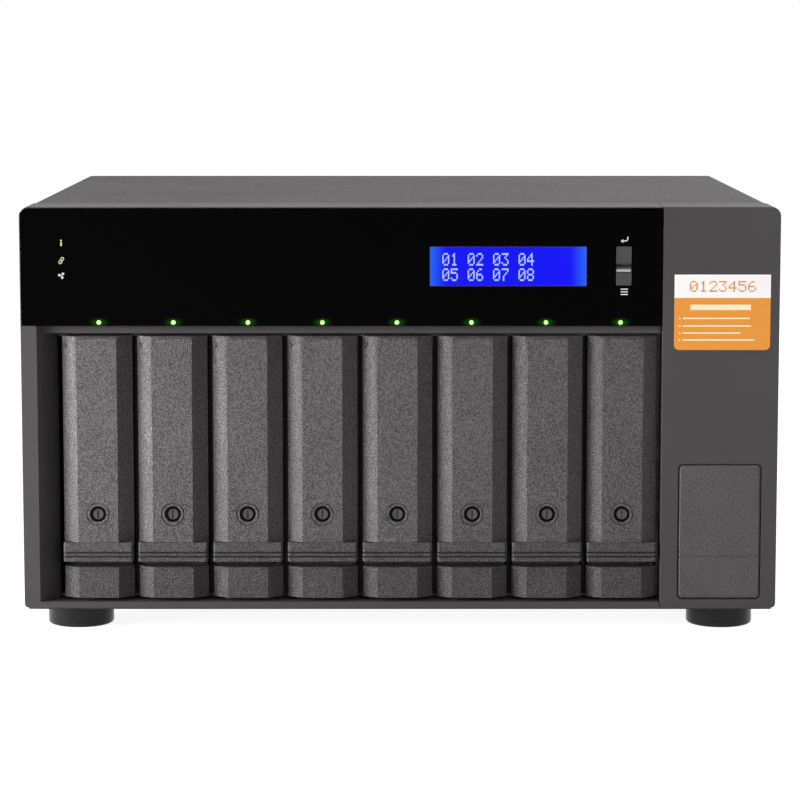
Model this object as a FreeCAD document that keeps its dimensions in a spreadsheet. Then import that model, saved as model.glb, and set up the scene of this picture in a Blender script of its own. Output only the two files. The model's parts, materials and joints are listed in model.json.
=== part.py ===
import FreeCAD, Part
import Sketcher
import math
import os
import re

# Disk shelf enclosure: a desktop chassis with eight front-loading drive trays.
# Millimetres. +X is to the right seen from the front, -Y is the front, +Z is up. The origin is the
# middle of the footprint, on the surface that the feet rest on. "Depth" is measured from the front
# plane towards the rear, and every piece is placed so that its own y is that depth.

# Driving dimensions. Each one becomes a cell of the document's spreadsheet.
SIZES = {
    # drives and the trays that carry them
    "bays": 8,
    "drive_thickness": 26.1,
    "drive_height": 101.6,
    "drive_length": 147.0,
    "drive_setback": 16.0,
    "drive_fit": 0.3,
    "tray_side_margin": 2.2,
    "tray_end_margin": 6.8,
    "tray_gap": 2.2,
    "tray_setback": 1.2,
    "tray_chamfer_width": 6.5,
    "tray_chamfer_depth": 4.5,
    "tray_plate": 1.2,
    "tray_rail": 2.0,
    "tray_rib_height": 2.0,
    "tray_rib_width": 3.0,
    "tray_tail": 2.0,
    "tray_front_wall": 2.3,
    "foot_block_height": 13.6,
    "finger_gap": 2.7,
    # tray handle
    "handle_depth": 7.2,
    "handle_wall": 1.5,
    "handle_clearance": 0.3,
    "pivot_inset": 4.0,
    "pin_radius": 1.25,
    "pin_play": 0.05,
    "knuckle_radius": 2.2,
    "knuckle_width": 8.0,
    "knuckle_arm": 16.0,
    "hinge_relief": 9.0,
    "handle_top_bevel": 1.2,
    "lip_height": 8.4,
    "lip_proud": 0.9,
    "groove_width": 0.7,
    "groove_depth": 0.6,
    "groove_spacing": 1.8,
    "groove_drop": 4.4,
    # key lock in the handle
    "lock_rise": 37.2,
    "lock_radius": 3.4,
    "lock_play": 0.1,
    "lock_recess": 0.4,
    "key_slot_width": 0.9,
    "key_slot_length": 3.6,
    "key_slot_depth": 1.0,
    "nut_radius": 4.2,
    "nut_thickness": 0.9,
    "nut_gap": 0.2,
    "cam_gap": 2.5,
    "cam_thickness": 1.2,
    "cam_width": 4.0,
    "cam_reach": 7.4,
    "keeper_gap": 0.7,
    "keeper_wall": 1.5,
    "keeper_height": 6.0,
    "cam_clearance": 0.3,
    # plastic front: sill, lintel, side frame, column and glossy fascia
    "pan_thickness": 1.5,
    "sill_height": 2.7,
    "sill_clearance": 1.5,
    "lintel_clearance": 1.3,
    "lintel_height": 3.5,
    "lintel_setback": 3.5,
    "fascia_height": 51.1,
    "fascia_thickness": 3.0,
    "fascia_rim": 0.4,
    "collar_depth": 30.0,
    "collar_wall": 2.5,
    "backing_thickness": 2.0,
    "side_frame_width": 15.0,
    "side_frame_flat": 6.9,
    "side_frame_depth": 10.0,
    "row_margin_left": 2.3,
    "row_margin_right": 1.7,
    "column_width": 50.6,
    "seam": 0.3,
    "upper_corner_radius": 4.0,
    "lower_corner_radius": 2.0,
    # blind service plate in the column
    "plate_width": 35.7,
    "plate_height": 59.1,
    "plate_left": 7.8,
    "plate_rise": 1.5,
    "plate_thickness": 2.2,
    "plate_gap": 0.4,
    "plate_radius": 1.8,
    "plate_groove_rise": 18.4,
    # display, indicators and push buttons
    "display_width": 67.8,
    "display_height": 17.1,
    "display_left": 177.4,
    "display_rise": 17.3,
    "display_gap": 0.1,
    "module_border": 6.0,
    "module_depth": 3.8,
    "indicator_radius": 1.0,
    "indicator_rise": 1.5,
    "indicator_pitch": 32.3,
    "status_left": 17.1,
    "status_rise": 22.0,
    "status_spacing": 6.9,
    "status_half": 1.3,
    "button_width": 7.0,
    "button_height": 8.7,
    "button_left": 257.8,
    "button_play": 0.3,
    "button_travel": 0.8,
    "button_bevel": 1.2,
    "board_thickness": 1.6,
    "board_depth": 9.0,
    "standoff_half": 2.5,
    # sheet-metal chassis
    "foot_height": 10.8,
    "foot_radius": 14.65,
    "foot_bevel": 1.2,
    "foot_inset": 21.5,
    "foot_front": 31.0,
    "foot_rear_inset": 26.0,
    "shell_depth": 275.0,
    "sheet": 1.0,
    "cover_step": 0.3,
    "cover_lip": 8.0,
    "pan_flange": 7.7,
    "rear_flange": 10.0,
    "pan_setback": 5.0,
    "vent_width": 3.0,
    "vent_height": 40.0,
    "vent_pitch": 8.0,
    "vents": 12,
    # drive cage and guides
    "cage_rise": 0.6,
    "cage_front": 12.0,
    "guide_base": 1.9,
    "guide_width": 12.0,
    "guide_side_gap": 0.3,
    "slide_gap": 0.3,
    "divider_thickness": 1.6,
    "divider_depth": 10.0,
    # backplane
    "socket_depth": 8.7,
    "socket_height": 42.0,
    "socket_width": 6.0,
    "socket_rise": 12.0,
    "mating_gap": 0.3,
    # exhaust fans
    "fan_size": 120.0,
    "fan_depth": 25.0,
    "fan_bore_radius": 57.5,
    "fan_screw_spacing": 105.0,
    "fan_side_gap": 24.5,
    "fan_spacing": 4.0,
    "fan_rise": 3.7,
    "fan_hub_radius": 19.5,
    "fan_shaft_radius": 1.5,
    "fan_shaft_reach": 2.5,
    "fan_running_gap": 1.5,
    "fan_strut": 3.0,
    "fan_blades": 7,
    "hex_pitch": 15.0,
    "hex_web": 2.6,
    # power supply and mains inlet
    "supply_width": 40.5,
    "supply_height": 81.5,
    "supply_length": 150.0,
    "supply_gap": 0.6,
    "supply_fan_radius": 17.6,
    "supply_fan_depth": 12.0,
    "supply_hub_radius": 7.4,
    "supply_shaft_radius": 1.0,
    "supply_fan_rise": 21.5,
    "inlet_width": 20.3,
    "inlet_height": 27.8,
    "inlet_rise": 60.0,
    "inlet_flange": 2.0,
    "inlet_recess": 16.0,
    # controller board, data ports and power button
    "port_width": 11.0,
    "port_height": 26.0,
    "port_length": 26.0,
    "port_rise": 6.0,
    "port_spacing": 34.0,
    "port_proud": 1.0,
    "port_wall": 1.2,
    "power_button_radius": 4.5,
    "power_button_drop": 12.9,
    "power_button_right": 20.0,
    # screws
    "thumb_head": 5.0,
    "thumb_head_radius": 4.5,
    "thumb_shank_radius": 1.5,
    "screw_head_radius": 3.6,
    "screw_head": 1.4,
    "screw_radius": 1.6,
    "screw_play": 0.2,
    "thumb_reach": 4.0,
    "screw_reach": 6.0,
    # wiring
    "lead_width": 12.0,
    "lead_thickness": 5.0,
    "lead_run": 22.0,
    "ribbon_width": 22.0,
    "ribbon_thickness": 1.2,
}

# Places and sizes worked out from the driving dimensions.
PLACES = {
    "tray_width": "drive_thickness + 2*tray_side_margin",
    "tray_pitch": "tray_width + tray_gap",
    "tray_height": "drive_height + 2*tray_end_margin",
    "row_width": "row_margin_left + (bays - 1)*tray_pitch + tray_width + row_margin_right",
    "overall_width": "side_frame_width + row_width + column_width",
    "half": "overall_width/2",
    "bay_left": "side_frame_width - half",
    "column_left": "bay_left + row_width",
    "first_bay": "bay_left + row_margin_left + tray_width/2",
    "pan_top": "foot_height + pan_thickness",
    "bay_bottom": "pan_top + sill_height",
    "tray_bottom": "bay_bottom + sill_clearance",
    "tray_top": "tray_bottom + tray_height",
    "bay_top": "tray_top + lintel_clearance",
    "fascia_bottom": "bay_top + lintel_height",
    "fascia_top": "fascia_bottom + fascia_height",
    "body_top": "fascia_top + fascia_rim",
    "fascia_right": "column_left - seam - 0.2",
    "bezel_right": "column_left - seam",
    "backing_rear": "fascia_thickness + backing_thickness",
    "total_depth": "shell_depth + thumb_head",
    # trays
    "chamfer_rear": "tray_setback + tray_chamfer_depth",
    "face_half": "tray_width/2 - tray_chamfer_width",
    "handle_rear": "tray_setback + handle_depth",
    "front_wall": "handle_rear + handle_clearance",
    "carrier_front": "front_wall + tray_front_wall",
    "block_top": "tray_bottom + foot_block_height",
    "handle_bottom": "block_top + finger_gap",
    "pivot_depth": "tray_setback + pivot_inset",
    "pivot_height": "tray_top - pivot_inset",
    "lip_top": "handle_bottom + lip_height",
    "lock_height": "tray_bottom + lock_rise",
    "wall_top": "pivot_height - hinge_relief",
    "lock_front": "tray_setback + lock_recess",
    "nut_front": "tray_setback + handle_wall + nut_gap",
    "cam_front": "nut_front + nut_thickness + cam_gap",
    "keeper_front": "cam_front - cam_clearance - keeper_wall",
    "cage_floor": "bay_bottom + cage_rise",
    "guide_floor": "cage_floor + sheet",
    "rib_bottom": "guide_floor + guide_base + slide_gap",
    "rail_bottom": "rib_bottom + tray_rib_height",
    "drive_bottom": "rail_bottom + tray_rail",
    "rail_top": "drive_bottom + drive_height + drive_fit + tray_rail",
    "rib_top": "rail_top + tray_rib_height",
    "guide_roof": "rib_top + slide_gap + guide_base",
    "cage_roof": "guide_roof + sheet",
    "carrier_half": "drive_thickness/2 + tray_plate + 0.1",
    "drive_left": "tray_plate - carrier_half",
    "drive_rear": "drive_setback + drive_length",
    "carrier_rear": "drive_rear + tray_tail",
    "backplane_front": "drive_rear + mating_gap + socket_depth",
    "backplane_rear": "backplane_front + board_thickness",
    "cage_left": "bay_left",
    "cage_right": "column_left - sheet - 0.1",
    # chassis
    "cover_half": "half - cover_step",
    "cover_top": "body_top - cover_step",
    "pan_half": "cover_half - sheet",
    "panel_front": "shell_depth - 2*sheet",
    "panel_rear": "shell_depth - sheet",
    "panel_top": "cover_top - sheet",
    # rear equipment
    "fan_front": "panel_front - fan_depth",
    "fan_first": "-half + fan_side_gap + fan_size/2",
    "fan_pitch": "fan_size + fan_spacing",
    "fan_height": "pan_top + fan_rise + fan_size/2",
    "supply_left": "column_left + supply_gap",
    "supply_middle": "supply_left + supply_width/2",
    "supply_front": "panel_front - supply_length",
    "supply_top": "pan_top + supply_height",
    "supply_fan_height": "pan_top + supply_fan_rise",
    "supply_fan_front": "panel_front - sheet - supply_fan_depth",
    "inlet_height_at": "pan_top + inlet_rise",
    "board_left": "supply_left + 3.5",
    "port_left": "board_left + board_thickness",
    "port_first": "supply_top + port_rise + port_height/2",
    "port_rear": "panel_rear + port_proud",
    "power_button_x": "supply_left + power_button_right",
    "power_button_z": "panel_top - power_button_drop",
    # front controls
    "display_x": "display_left - half",
    "display_z": "fascia_bottom + display_rise",
    "button_x": "button_left - half",
    "indicator_z": "fascia_bottom + indicator_rise",
    "indicator_first": "first_bay + (bays - 1)*(tray_pitch - indicator_pitch)/2",
    "status_x": "status_left - half",
    "status_z": "fascia_bottom + status_rise",
    "plate_x": "column_left + plate_left",
    "plate_z": "bay_bottom + plate_rise",
}

TOUCH = 0.001
doc = FreeCAD.newDocument("DiskShelfEnclosure")
sheet = doc.addObject("Spreadsheet::Sheet", "Sizes")
for row, (alias, number) in enumerate(SIZES.items(), 1):
    sheet.set(f"A{row}", alias)
    sheet.set(f"B{row}", str(number))
    sheet.setAlias(f"B{row}", alias)
doc.recompute()
nodes = {}


# ---- expressions, sketches and features ----

def bound(text):
    """The text with each named size as a reference to its cell, and each place worked out."""
    def swap(match):
        word = match[0]
        if word in PLACES:
            return "(" + bound(PLACES[word]) + ")"
        return "Sizes." + word if word in SIZES else word
    return re.sub(r"[a-z]\w+", swap, str(text))


def value(text):
    return float(sheet.evalExpression(bound(text)))


def box(left, right, low, high):
    """A rectangle as four corners."""
    return [(left, low), (right, low), (right, high), (left, high)]


def square(across, up, half):
    """A square about a point."""
    return box(f"{across} - ({half})", f"{across} + {half}", f"{up} - ({half})", f"{up} + {half}")


def ring(across, up, radius):
    return ("ring", across, up, radius)


def even(radius, sides):
    """An even polygon of that corner radius about the body's own axis."""
    turns = [2 * math.pi * n / sides for n in range(sides)]
    return [(f"({radius})*{math.cos(turn):.6f}", f"({radius})*{math.sin(turn):.6f}") for turn in turns]


def origin_feature(body, role):
    return next(one for one in body.Origin.OriginFeatures if one.Role == role)


def draw(body, plane, at, loops):
    """A sketch of closed loops, parallel to a plane of the body and moved along X, Y or Z to `at`."""
    drawing = body.newObject("Sketcher::SketchObject", "Outline")
    drawing.AttachmentSupport = [(origin_feature(body, plane + "_Plane"), "")]
    drawing.MapMode = "FlatFace"
    side = "-1" if plane == "XZ" else "1"
    drawing.setExpression("AttachmentOffset.Base.z", f"{side}*({bound(at)})")
    for loop in loops:
        first = drawing.GeometryCount
        if loop[0] == "ring":
            across, up, radius = loop[1:]
            middle = FreeCAD.Vector(value(across), value(up), 0)
            drawing.addGeometry(Part.Circle(middle, FreeCAD.Vector(0, 0, 1), value(radius)))
            pin(drawing, first, 3, across, up)
            size = drawing.addConstraint(Sketcher.Constraint("Radius", first, value(radius)))
            drawing.setExpression(f"Constraints[{size}]", bound(radius))
            continue
        corners = [FreeCAD.Vector(value(across), value(up), 0) for across, up in loop]
        count = len(corners)
        drawing.addGeometry([Part.LineSegment(corners[n], corners[(n + 1) % count]) for n in range(count)])
        drawing.addConstraint([
            Sketcher.Constraint("Coincident", first + n, 2, first + (n + 1) % count, 1)
            for n in range(count)
        ])
        for n, (across, up) in enumerate(loop):
            pin(drawing, first + n, 1, across, up)
    return drawing


def pin(drawing, edge, point, across, up):
    """Ties one point of a sketch to its two expressions."""
    for kind, text in (("DistanceX", across), ("DistanceY", up)):
        tie = drawing.addConstraint(Sketcher.Constraint(kind, -1, 1, edge, point, value(text)))
        drawing.setExpression(f"Constraints[{tie}]", bound(text))


def new_body(label, x="0", z="0", y="0"):
    body = doc.addObject("PartDesign::Body", label)
    body.Label = label
    place(body, x, z, y)
    return body


def place(thing, x="0", z="0", y="0"):
    """Puts a piece at its place: its own y counts from the front plane."""
    thing.setExpression("Placement.Base.x", bound(x))
    thing.setExpression("Placement.Base.y", bound(f"{y} - total_depth/2"))
    thing.setExpression("Placement.Base.z", bound(z))


def pad(body, plane, at, length, *loops):
    """Adds the loops, extruded from `at` along the plane's axis."""
    feature = body.newObject("PartDesign::Pad", "Pad")
    feature.Profile = draw(body, plane, at, loops)
    feature.setExpression("Length", bound(length))
    feature.Reversed = plane == "XZ"
    return feature


def cut(body, plane, at, length, *loops):
    """Cuts the loops away, from `at` along the plane's axis."""
    feature = body.newObject("PartDesign::Pocket", "Pocket")
    feature.Profile = draw(body, plane, at, loops)
    feature.setExpression("Length", bound(length))
    feature.Reversed = plane != "XZ"
    return feature


def spin(body, *loops, axis="V_Axis", plane="XY"):
    """Revolves the loops, drawn as (radius, depth) or (radius, height), about the body's own axis."""
    feature = body.newObject("PartDesign::Revolution", "Revolution")
    profile = draw(body, plane, "0", loops)
    feature.Profile = profile
    feature.ReferenceAxis = (profile, [axis])
    return feature


def along(axis, **spots):
    """Chooses straight edges parallel to an axis that pass the given x, y or z."""
    wanted = {name: value(text) for name, text in spots.items()}

    def chosen(edge):
        extent = edge.BoundBox
        lengths = {"X": extent.XLength, "Y": extent.YLength, "Z": extent.ZLength}
        middle = {"x": extent.Center.x, "y": extent.Center.y, "z": extent.Center.z}
        straight = all(lengths[other] < TOUCH for other in lengths if other != axis)
        return straight and all(abs(middle[name] - spot) < TOUCH for name, spot in wanted.items())
    return chosen


def soften(body, kind, size, *choices):
    """Rounds ("Fillet") or bevels ("Chamfer") the chosen edges of the body's last feature."""
    doc.recompute()
    base = body.Tip
    names = [
        f"Edge{n}" for n, edge in enumerate(base.Shape.Edges, 1)
        if any(chosen(edge) for chosen in choices)
    ]
    if not names:
        raise RuntimeError(f"{body.Label}: no edge to soften")
    feature = body.newObject("PartDesign::" + kind, kind)
    feature.Base = (base, names)
    feature.setExpression("Radius" if kind == "Fillet" else "Size", bound(size))
    return feature


def around(body, base, count):
    """Repeats a feature evenly about the body's depth axis."""
    pattern = body.newObject("PartDesign::PolarPattern", "Around")
    pattern.Originals = [base]
    pattern.Axis = (origin_feature(body, "Y_Axis"), [""])
    pattern.Angle = 360
    pattern.setExpression("Occurrences", bound(count))
    body.Tip = pattern
    return pattern


def copy(piece, label, x="0", z="0", y="0"):
    """The same piece again, at another place."""
    link = doc.addObject("App::Link", label)
    link.LinkedObject = piece
    link.Label = label
    place(link, x, z, y)
    return link


def keep(thing, label):
    """Names a finished piece: it becomes one node of the assembly."""
    thing.Label = label
    nodes[label] = thing


def keep_group(label, pieces):
    """Several separate solids that share one node."""
    group = doc.addObject("Part::Compound", label)
    group.Links = pieces
    keep(group, label)


def mirrored(points):
    """The points of a right half, then the same points mirrored to the left."""
    return points + [("-(" + across + ")", up) for across, up in reversed(points)]


# ---- trays ----

def tray_section(front, rear, inset="0"):
    """The trapezoid section that handle and foot block share, seen from above."""
    return mirrored([
        (f"face_half - {inset}/3", front),
        (f"tray_width/2 - {inset}", f"chamfer_rear + {inset}*0.8"),
        (f"tray_width/2 - {inset}", rear),
    ])


def make_handle():
    """Moulded lever: hollow behind, hinged at its top on a cross pin, with a grooved finger lip."""
    body = new_body("tray_1_handle", x="first_bay")
    pad(body, "XY", "handle_bottom", "tray_top - handle_bottom", tray_section("tray_setback", "handle_rear"))
    pad(body, "XY", "handle_bottom", "lip_height", mirrored([
        ("tray_width/2 - lip_proud", "tray_setback - lip_proud"),
        ("tray_width/2", "tray_setback"),
        ("tray_width/2", "chamfer_rear"),
    ]))
    soften(body, "Chamfer", "handle_top_bevel", along("X", y="tray_setback", z="tray_top"))
    cut(body, "XY", "handle_bottom + handle_wall", "tray_top - handle_bottom - 2*handle_wall",
        tray_section("tray_setback + handle_wall", "handle_rear + 1", inset="handle_wall"))
    groove_rear = "tray_setback - lip_proud + groove_depth"
    cut(body, "YZ", "-tray_width/2", "tray_width", *[
        box("-1", groove_rear, f"{middle} - groove_width/2", f"{middle} + groove_width/2")
        for middle in ("lip_top - groove_drop", "lip_top - groove_drop - groove_spacing")
    ])
    cut(body, "XZ", "0", "tray_setback + handle_wall + 2", ring("0", "lock_height", "lock_radius + lock_play"))
    pad(body, "YZ", "handle_wall - tray_width/2", "tray_width - 2*handle_wall",
        ring("pivot_depth", "pivot_height", "pin_radius"))
    return body


def make_carrier():
    """Tray body: side plate and two rails that hold the drive on edge, front wall with the
    handle's hinge knuckle and lock keeper, and the foot block below the handle."""
    body = new_body("tray_1_carrier", x="first_bay")
    rib = "tray_rib_width/2"
    pad(body, "XZ", "carrier_front", "carrier_rear - carrier_front", [
        ("-carrier_half", "rail_bottom"), ("-" + rib, "rail_bottom"), ("-" + rib, "rib_bottom"),
        (rib, "rib_bottom"), (rib, "rail_bottom"), ("carrier_half", "rail_bottom"),
        ("carrier_half", "drive_bottom"), ("drive_left", "drive_bottom"),
        ("drive_left", "rail_top - tray_rail"), ("carrier_half", "rail_top - tray_rail"),
        ("carrier_half", "rail_top"), (rib, "rail_top"), (rib, "rib_top"), ("-" + rib, "rib_top"),
        ("-" + rib, "rail_top"), ("-carrier_half", "rail_top"),
    ])
    pad(body, "XY", "tray_bottom", "foot_block_height", tray_section("tray_setback", "carrier_front"))
    pad(body, "XZ", "front_wall", "tray_front_wall",
        box("-carrier_half", "carrier_half", "block_top", "wall_top"))
    pad(body, "XZ", "carrier_front", "tray_plate",
        box("-carrier_half", "carrier_half", "wall_top - 3", "rail_top - tray_rail"))
    arm_bottom = "pivot_height - knuckle_arm"
    knuckle_front = "pivot_depth - knuckle_radius"
    knuckle_rear = "pivot_depth + knuckle_radius"
    for outline in (
        [(knuckle_front, "pivot_height"), (knuckle_front, arm_bottom), ("front_wall", arm_bottom),
         ("front_wall", "wall_top"), (knuckle_rear, "wall_top"), (knuckle_rear, "pivot_height")],
        ring("pivot_depth", "pivot_height", "knuckle_radius"),
    ):
        pad(body, "YZ", "-knuckle_width/2", "knuckle_width", outline)
    cut(body, "YZ", "-tray_width/2", "tray_width", ring("pivot_depth", "pivot_height", "pin_radius + pin_play"))
    keeper_left = "nut_radius + keeper_gap"
    keeper_right = "cam_reach + keeper_gap + keeper_wall"
    low = "lock_height - keeper_height/2"
    high = "lock_height + keeper_height/2"
    pad(body, "XZ", "keeper_front", "front_wall - keeper_front",
        box("cam_reach + keeper_gap", keeper_right, low, high))
    pad(body, "XZ", "keeper_front", "keeper_wall", box(keeper_left, keeper_right, low, high))
    pitch = "(drive_length - 14)/3"
    windows = []
    for n in range(3):
        start = f"drive_setback + 12 + {n}*{pitch}"
        end = f"{start} + {pitch} - 10"
        windows.append(box(start, end, "drive_bottom + 8", "drive_bottom + drive_height - 8"))
    cut(body, "YZ", "-carrier_half - 1", "tray_plate + 1.05", *windows)
    return body


def make_lock():
    """Key lock: slotted barrel held by a hexagonal nut behind the handle's wall, and a cam on its
    square shaft, which turns behind the keeper."""
    body = new_body("tray_1_lock", x="first_bay", z="lock_height")
    pad(body, "XZ", "lock_front", "nut_front - lock_front", ring("0", "0", "lock_radius"))
    pad(body, "XZ", "nut_front", "nut_thickness", even("nut_radius", 6))
    pad(body, "XZ", "nut_front + nut_thickness", "cam_gap + cam_thickness", square("0", "0", "cam_width/2"))
    pad(body, "XZ", "cam_front", "cam_thickness", box("-cam_width/2", "cam_width/2", "0", "cam_reach"))
    cut(body, "XZ", "0", "lock_front + key_slot_depth",
        box("-key_slot_width/2", "key_slot_width/2", "-key_slot_length/2", "key_slot_length/2"))
    return body


def make_drive():
    """3.5-inch disk drive on its edge: housing, stepped lid and circuit board side."""
    body = new_body("tray_1_drive", x="first_bay")
    right = "drive_left + drive_thickness"
    bottom = "drive_bottom + 3"
    top = "drive_bottom + drive_height - 3"
    pad(body, "XZ", "drive_setback", "drive_length",
        box("drive_left + 2.5", f"{right} - 1", "drive_bottom", "drive_bottom + drive_height"))
    soften(body, "Chamfer", "2", along("X", y="drive_setback"), along("X", y="drive_rear"))
    pad(body, "YZ", f"{right} - 1", "1", box("drive_setback + 3", "drive_rear - 22", bottom, top))
    pad(body, "YZ", "drive_left", "2.5", box("drive_setback + 40", "drive_rear - 6", bottom, top))
    return body


def make_trays():
    pieces = {
        "carrier": make_carrier(),
        "handle": make_handle(),
        "lock": make_lock(),
        "drive": make_drive(),
    }
    for number in range(1, int(value("bays")) + 1):
        for kind, master in pieces.items():
            label = f"tray_{number}_{kind}"
            if number == 1:
                keep(master, label)
                continue
            height = "lock_height" if kind == "lock" else "0"
            keep(copy(master, label, x=f"first_bay + {number - 1}*tray_pitch", z=height), label)


# ---- plastic front ----

def make_bezel():
    """Front frame: a C-shaped collar closed on the right by the column, with the bevelled side
    frame, sill, lintel and the backing plate that carries the fascia."""
    body = new_body("bay_bezel")
    pad(body, "XZ", "0", "collar_depth", [
        ("bezel_right", "pan_top"), ("-half", "pan_top"), ("-half", "body_top"),
        ("bezel_right", "body_top"), ("bezel_right", "body_top - collar_wall"),
        ("collar_wall - half", "body_top - collar_wall"), ("collar_wall - half", "pan_top + collar_wall"),
        ("bezel_right", "pan_top + collar_wall"),
    ])
    soften(body, "Fillet", "upper_corner_radius", along("Y", x="-half", z="body_top"))
    soften(body, "Fillet", "lower_corner_radius", along("Y", x="-half", z="pan_top"))
    inside = "collar_wall - half"
    foot = "pan_top + collar_wall - 0.5"
    rear = "side_frame_depth + 2"
    pad(body, "XY", foot, f"fascia_bottom - ({foot})", [
        (inside, "0"), ("side_frame_flat - half", "0"), ("bay_left", "side_frame_depth"),
        ("bay_left", rear), ("bay_left - 2", rear), ("bay_left - 2", "side_frame_depth + 0.6"),
        ("side_frame_flat - half - 1", "2"), (inside, "2"),
    ])
    pad(body, "YZ", inside, f"bezel_right - ({inside})", box("0", "cage_front", foot, "bay_bottom"))
    pad(body, "YZ", inside, f"bezel_right - ({inside})", [
        ("lintel_setback", "bay_top"), ("cage_front", "bay_top"), ("cage_front", "bay_top + 2"),
        ("backing_rear", "bay_top + 2"), ("backing_rear", "body_top - collar_wall"),
        ("fascia_thickness", "body_top - collar_wall"), ("fascia_thickness", "fascia_bottom"),
        ("lintel_setback", "fascia_bottom"),
    ])
    cut(body, "XZ", "-1", "fascia_thickness + 1",
        box("fascia_rim - half", "bezel_right + 1", "fascia_bottom", "fascia_top"))
    lamp_holes = [square(across, up, "indicator_radius + 0.3") for across, up in indicator_spots()]
    lamp_holes += [square("status_x", up, "status_half + 0.1") for up in status_heights()]
    cut(body, "XZ", "fascia_thickness - 0.5", "backing_thickness + 1",
        display_opening(), button_opening(), *lamp_holes)
    pad(body, "XZ", "backing_rear", "board_depth - backing_rear", *[
        square(across, up, "standoff_half")
        for across in ("20 - half", "110 - half", "bezel_right - 8")
        for up in ("fascia_bottom + 12", "fascia_top - 8")
    ])
    return body


def display_opening():
    return box("display_x - display_gap", "display_x + display_width + display_gap",
               "display_z - display_gap", "display_z + display_height + display_gap")


def button_opening():
    return box("button_x - button_play", "button_x + button_width + button_play",
               "display_z - button_play", "display_z + 2*button_height + button_play")


def indicator_spots():
    return [
        (f"indicator_first + {n}*indicator_pitch", "indicator_z") for n in range(int(value("bays")))
    ]


def status_heights():
    return [f"status_z + {n}*status_spacing" for n in range(3)]


def make_fascia():
    """Glossy front panel over the trays, with its display window, button opening and lamp holes."""
    body = new_body("display_fascia")
    pad(body, "XZ", "0", "fascia_thickness",
        box("fascia_rim - half", "fascia_right", "fascia_bottom", "fascia_top"))
    soften(body, "Fillet", "upper_corner_radius - fascia_rim",
           along("Y", x="fascia_rim - half", z="fascia_top"))
    lamp_holes = [ring(across, up, "indicator_radius + 0.1") for across, up in indicator_spots()]
    cut(body, "XZ", "-1", "fascia_thickness + 2", display_opening(), button_opening(), *lamp_holes)
    keep(body, "display_fascia")


def make_display():
    """Character display: window glass that fills the fascia's opening, on a framed module."""
    body = new_body("display_module")
    pad(body, "XZ", "0.1", "backing_rear - 0.1",
        box("display_x", "display_x + display_width", "display_z", "display_z + display_height"))
    pad(body, "XZ", "backing_rear", "module_depth",
        box("display_x - module_border", "display_x + display_width + module_border",
            "display_z - module_border", "display_z + display_height + module_border"))
    keep(body, "display_module")


def make_buttons():
    """Two push buttons in one opening, with bevels that meet in a groove between them."""
    stem_rear = "backing_rear + 0.3"
    for label, low, bevel_low in (
        ("select_button", "display_z", False),
        ("enter_button", "display_z + button_height", True),
    ):
        body = new_body(label)
        gap = "0.1"
        bottom = f"{low} + {gap}"
        top = f"{low} + button_height - {gap}"
        if bevel_low:
            front = [("button_bevel", bottom), ("0.2", f"{bottom} + button_bevel"), ("0.2", top)]
        else:
            front = [("0.2", bottom), ("0.2", f"{top} - 2*button_bevel"), ("button_bevel", top)]
        pad(body, "YZ", "button_x", "button_width", front + [(stem_rear, top), (stem_rear, bottom)])
        pad(body, "XZ", stem_rear, "1.2", box("button_x - 1.5", "button_x + button_width + 1.5", bottom, top))
        keep(body, label)


def make_light_pipes():
    """Clear rods that carry each lamp from the board to the fascia: one a tray, and three for status."""
    spots = indicator_spots()
    body = new_body("light_pipe", *spots[0])
    pad(body, "XZ", "0.1", "board_depth - 0.1", ring("0", "0", "indicator_radius"))
    pipes = [body] + [copy(body, "light_pipe_copy", x=across, z=up) for across, up in spots[1:]]
    status = new_body("status_pipe", x="status_x", z="status_z")
    pad(status, "XZ", "fascia_thickness", "board_depth - fascia_thickness", square("0", "0", "status_half"))
    pipes.append(status)
    pipes += [copy(status, "status_pipe_copy", x="status_x", z=up) for up in status_heights()[1:]]
    keep_group("light_pipes", pipes)


def make_front_board():
    """Circuit board behind the fascia, with the two key switches."""
    body = new_body("front_panel_board")
    pad(body, "XZ", "board_depth", "board_thickness",
        box("9.5 - half", "column_left - 5", "fascia_bottom + 0.4", "fascia_top - 4"))
    switch = "backing_rear + 0.3 + 1.2 + button_travel + 0.3"
    pad(body, "XZ", switch, f"board_depth - ({switch})", *[
        box("button_x + 1", "button_x + button_width - 1",
            f"display_z + {n}*button_height + 2", f"display_z + {n}*button_height + 7") for n in range(2)
    ])
    keep(body, "front_panel_board")


def make_column():
    """Right-hand moulding: hollow behind, with a shallow seat for the service plate."""
    body = new_body("side_column")
    pad(body, "XZ", "0", "collar_depth", box("column_left", "half", "pan_top", "body_top"))
    soften(body, "Fillet", "upper_corner_radius", along("Y", x="half", z="body_top"))
    soften(body, "Fillet", "lower_corner_radius", along("Y", x="half", z="pan_top"))
    cut(body, "XZ", "collar_wall", "collar_depth", box(
        "column_left + collar_wall", "half - collar_wall", "pan_top + collar_wall", "body_top - collar_wall"))
    pad(body, "XZ", "plate_thickness", "collar_wall", box(
        "plate_x - 3", "plate_x + plate_width + 3", "plate_z - 1", "plate_z + plate_height + 3"))
    sides = ("plate_x - plate_gap", "plate_x + plate_width + plate_gap")
    ends = ("plate_z - plate_gap", "plate_z + plate_height + plate_gap")
    cut(body, "XZ", "-1", "plate_thickness + 1", box(*sides, *ends))
    soften(body, "Fillet", "plate_radius + plate_gap", *[
        along("Y", x=across, z=up, y="plate_thickness/2") for across in sides for up in ends
    ])
    keep(body, "side_column")


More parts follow.
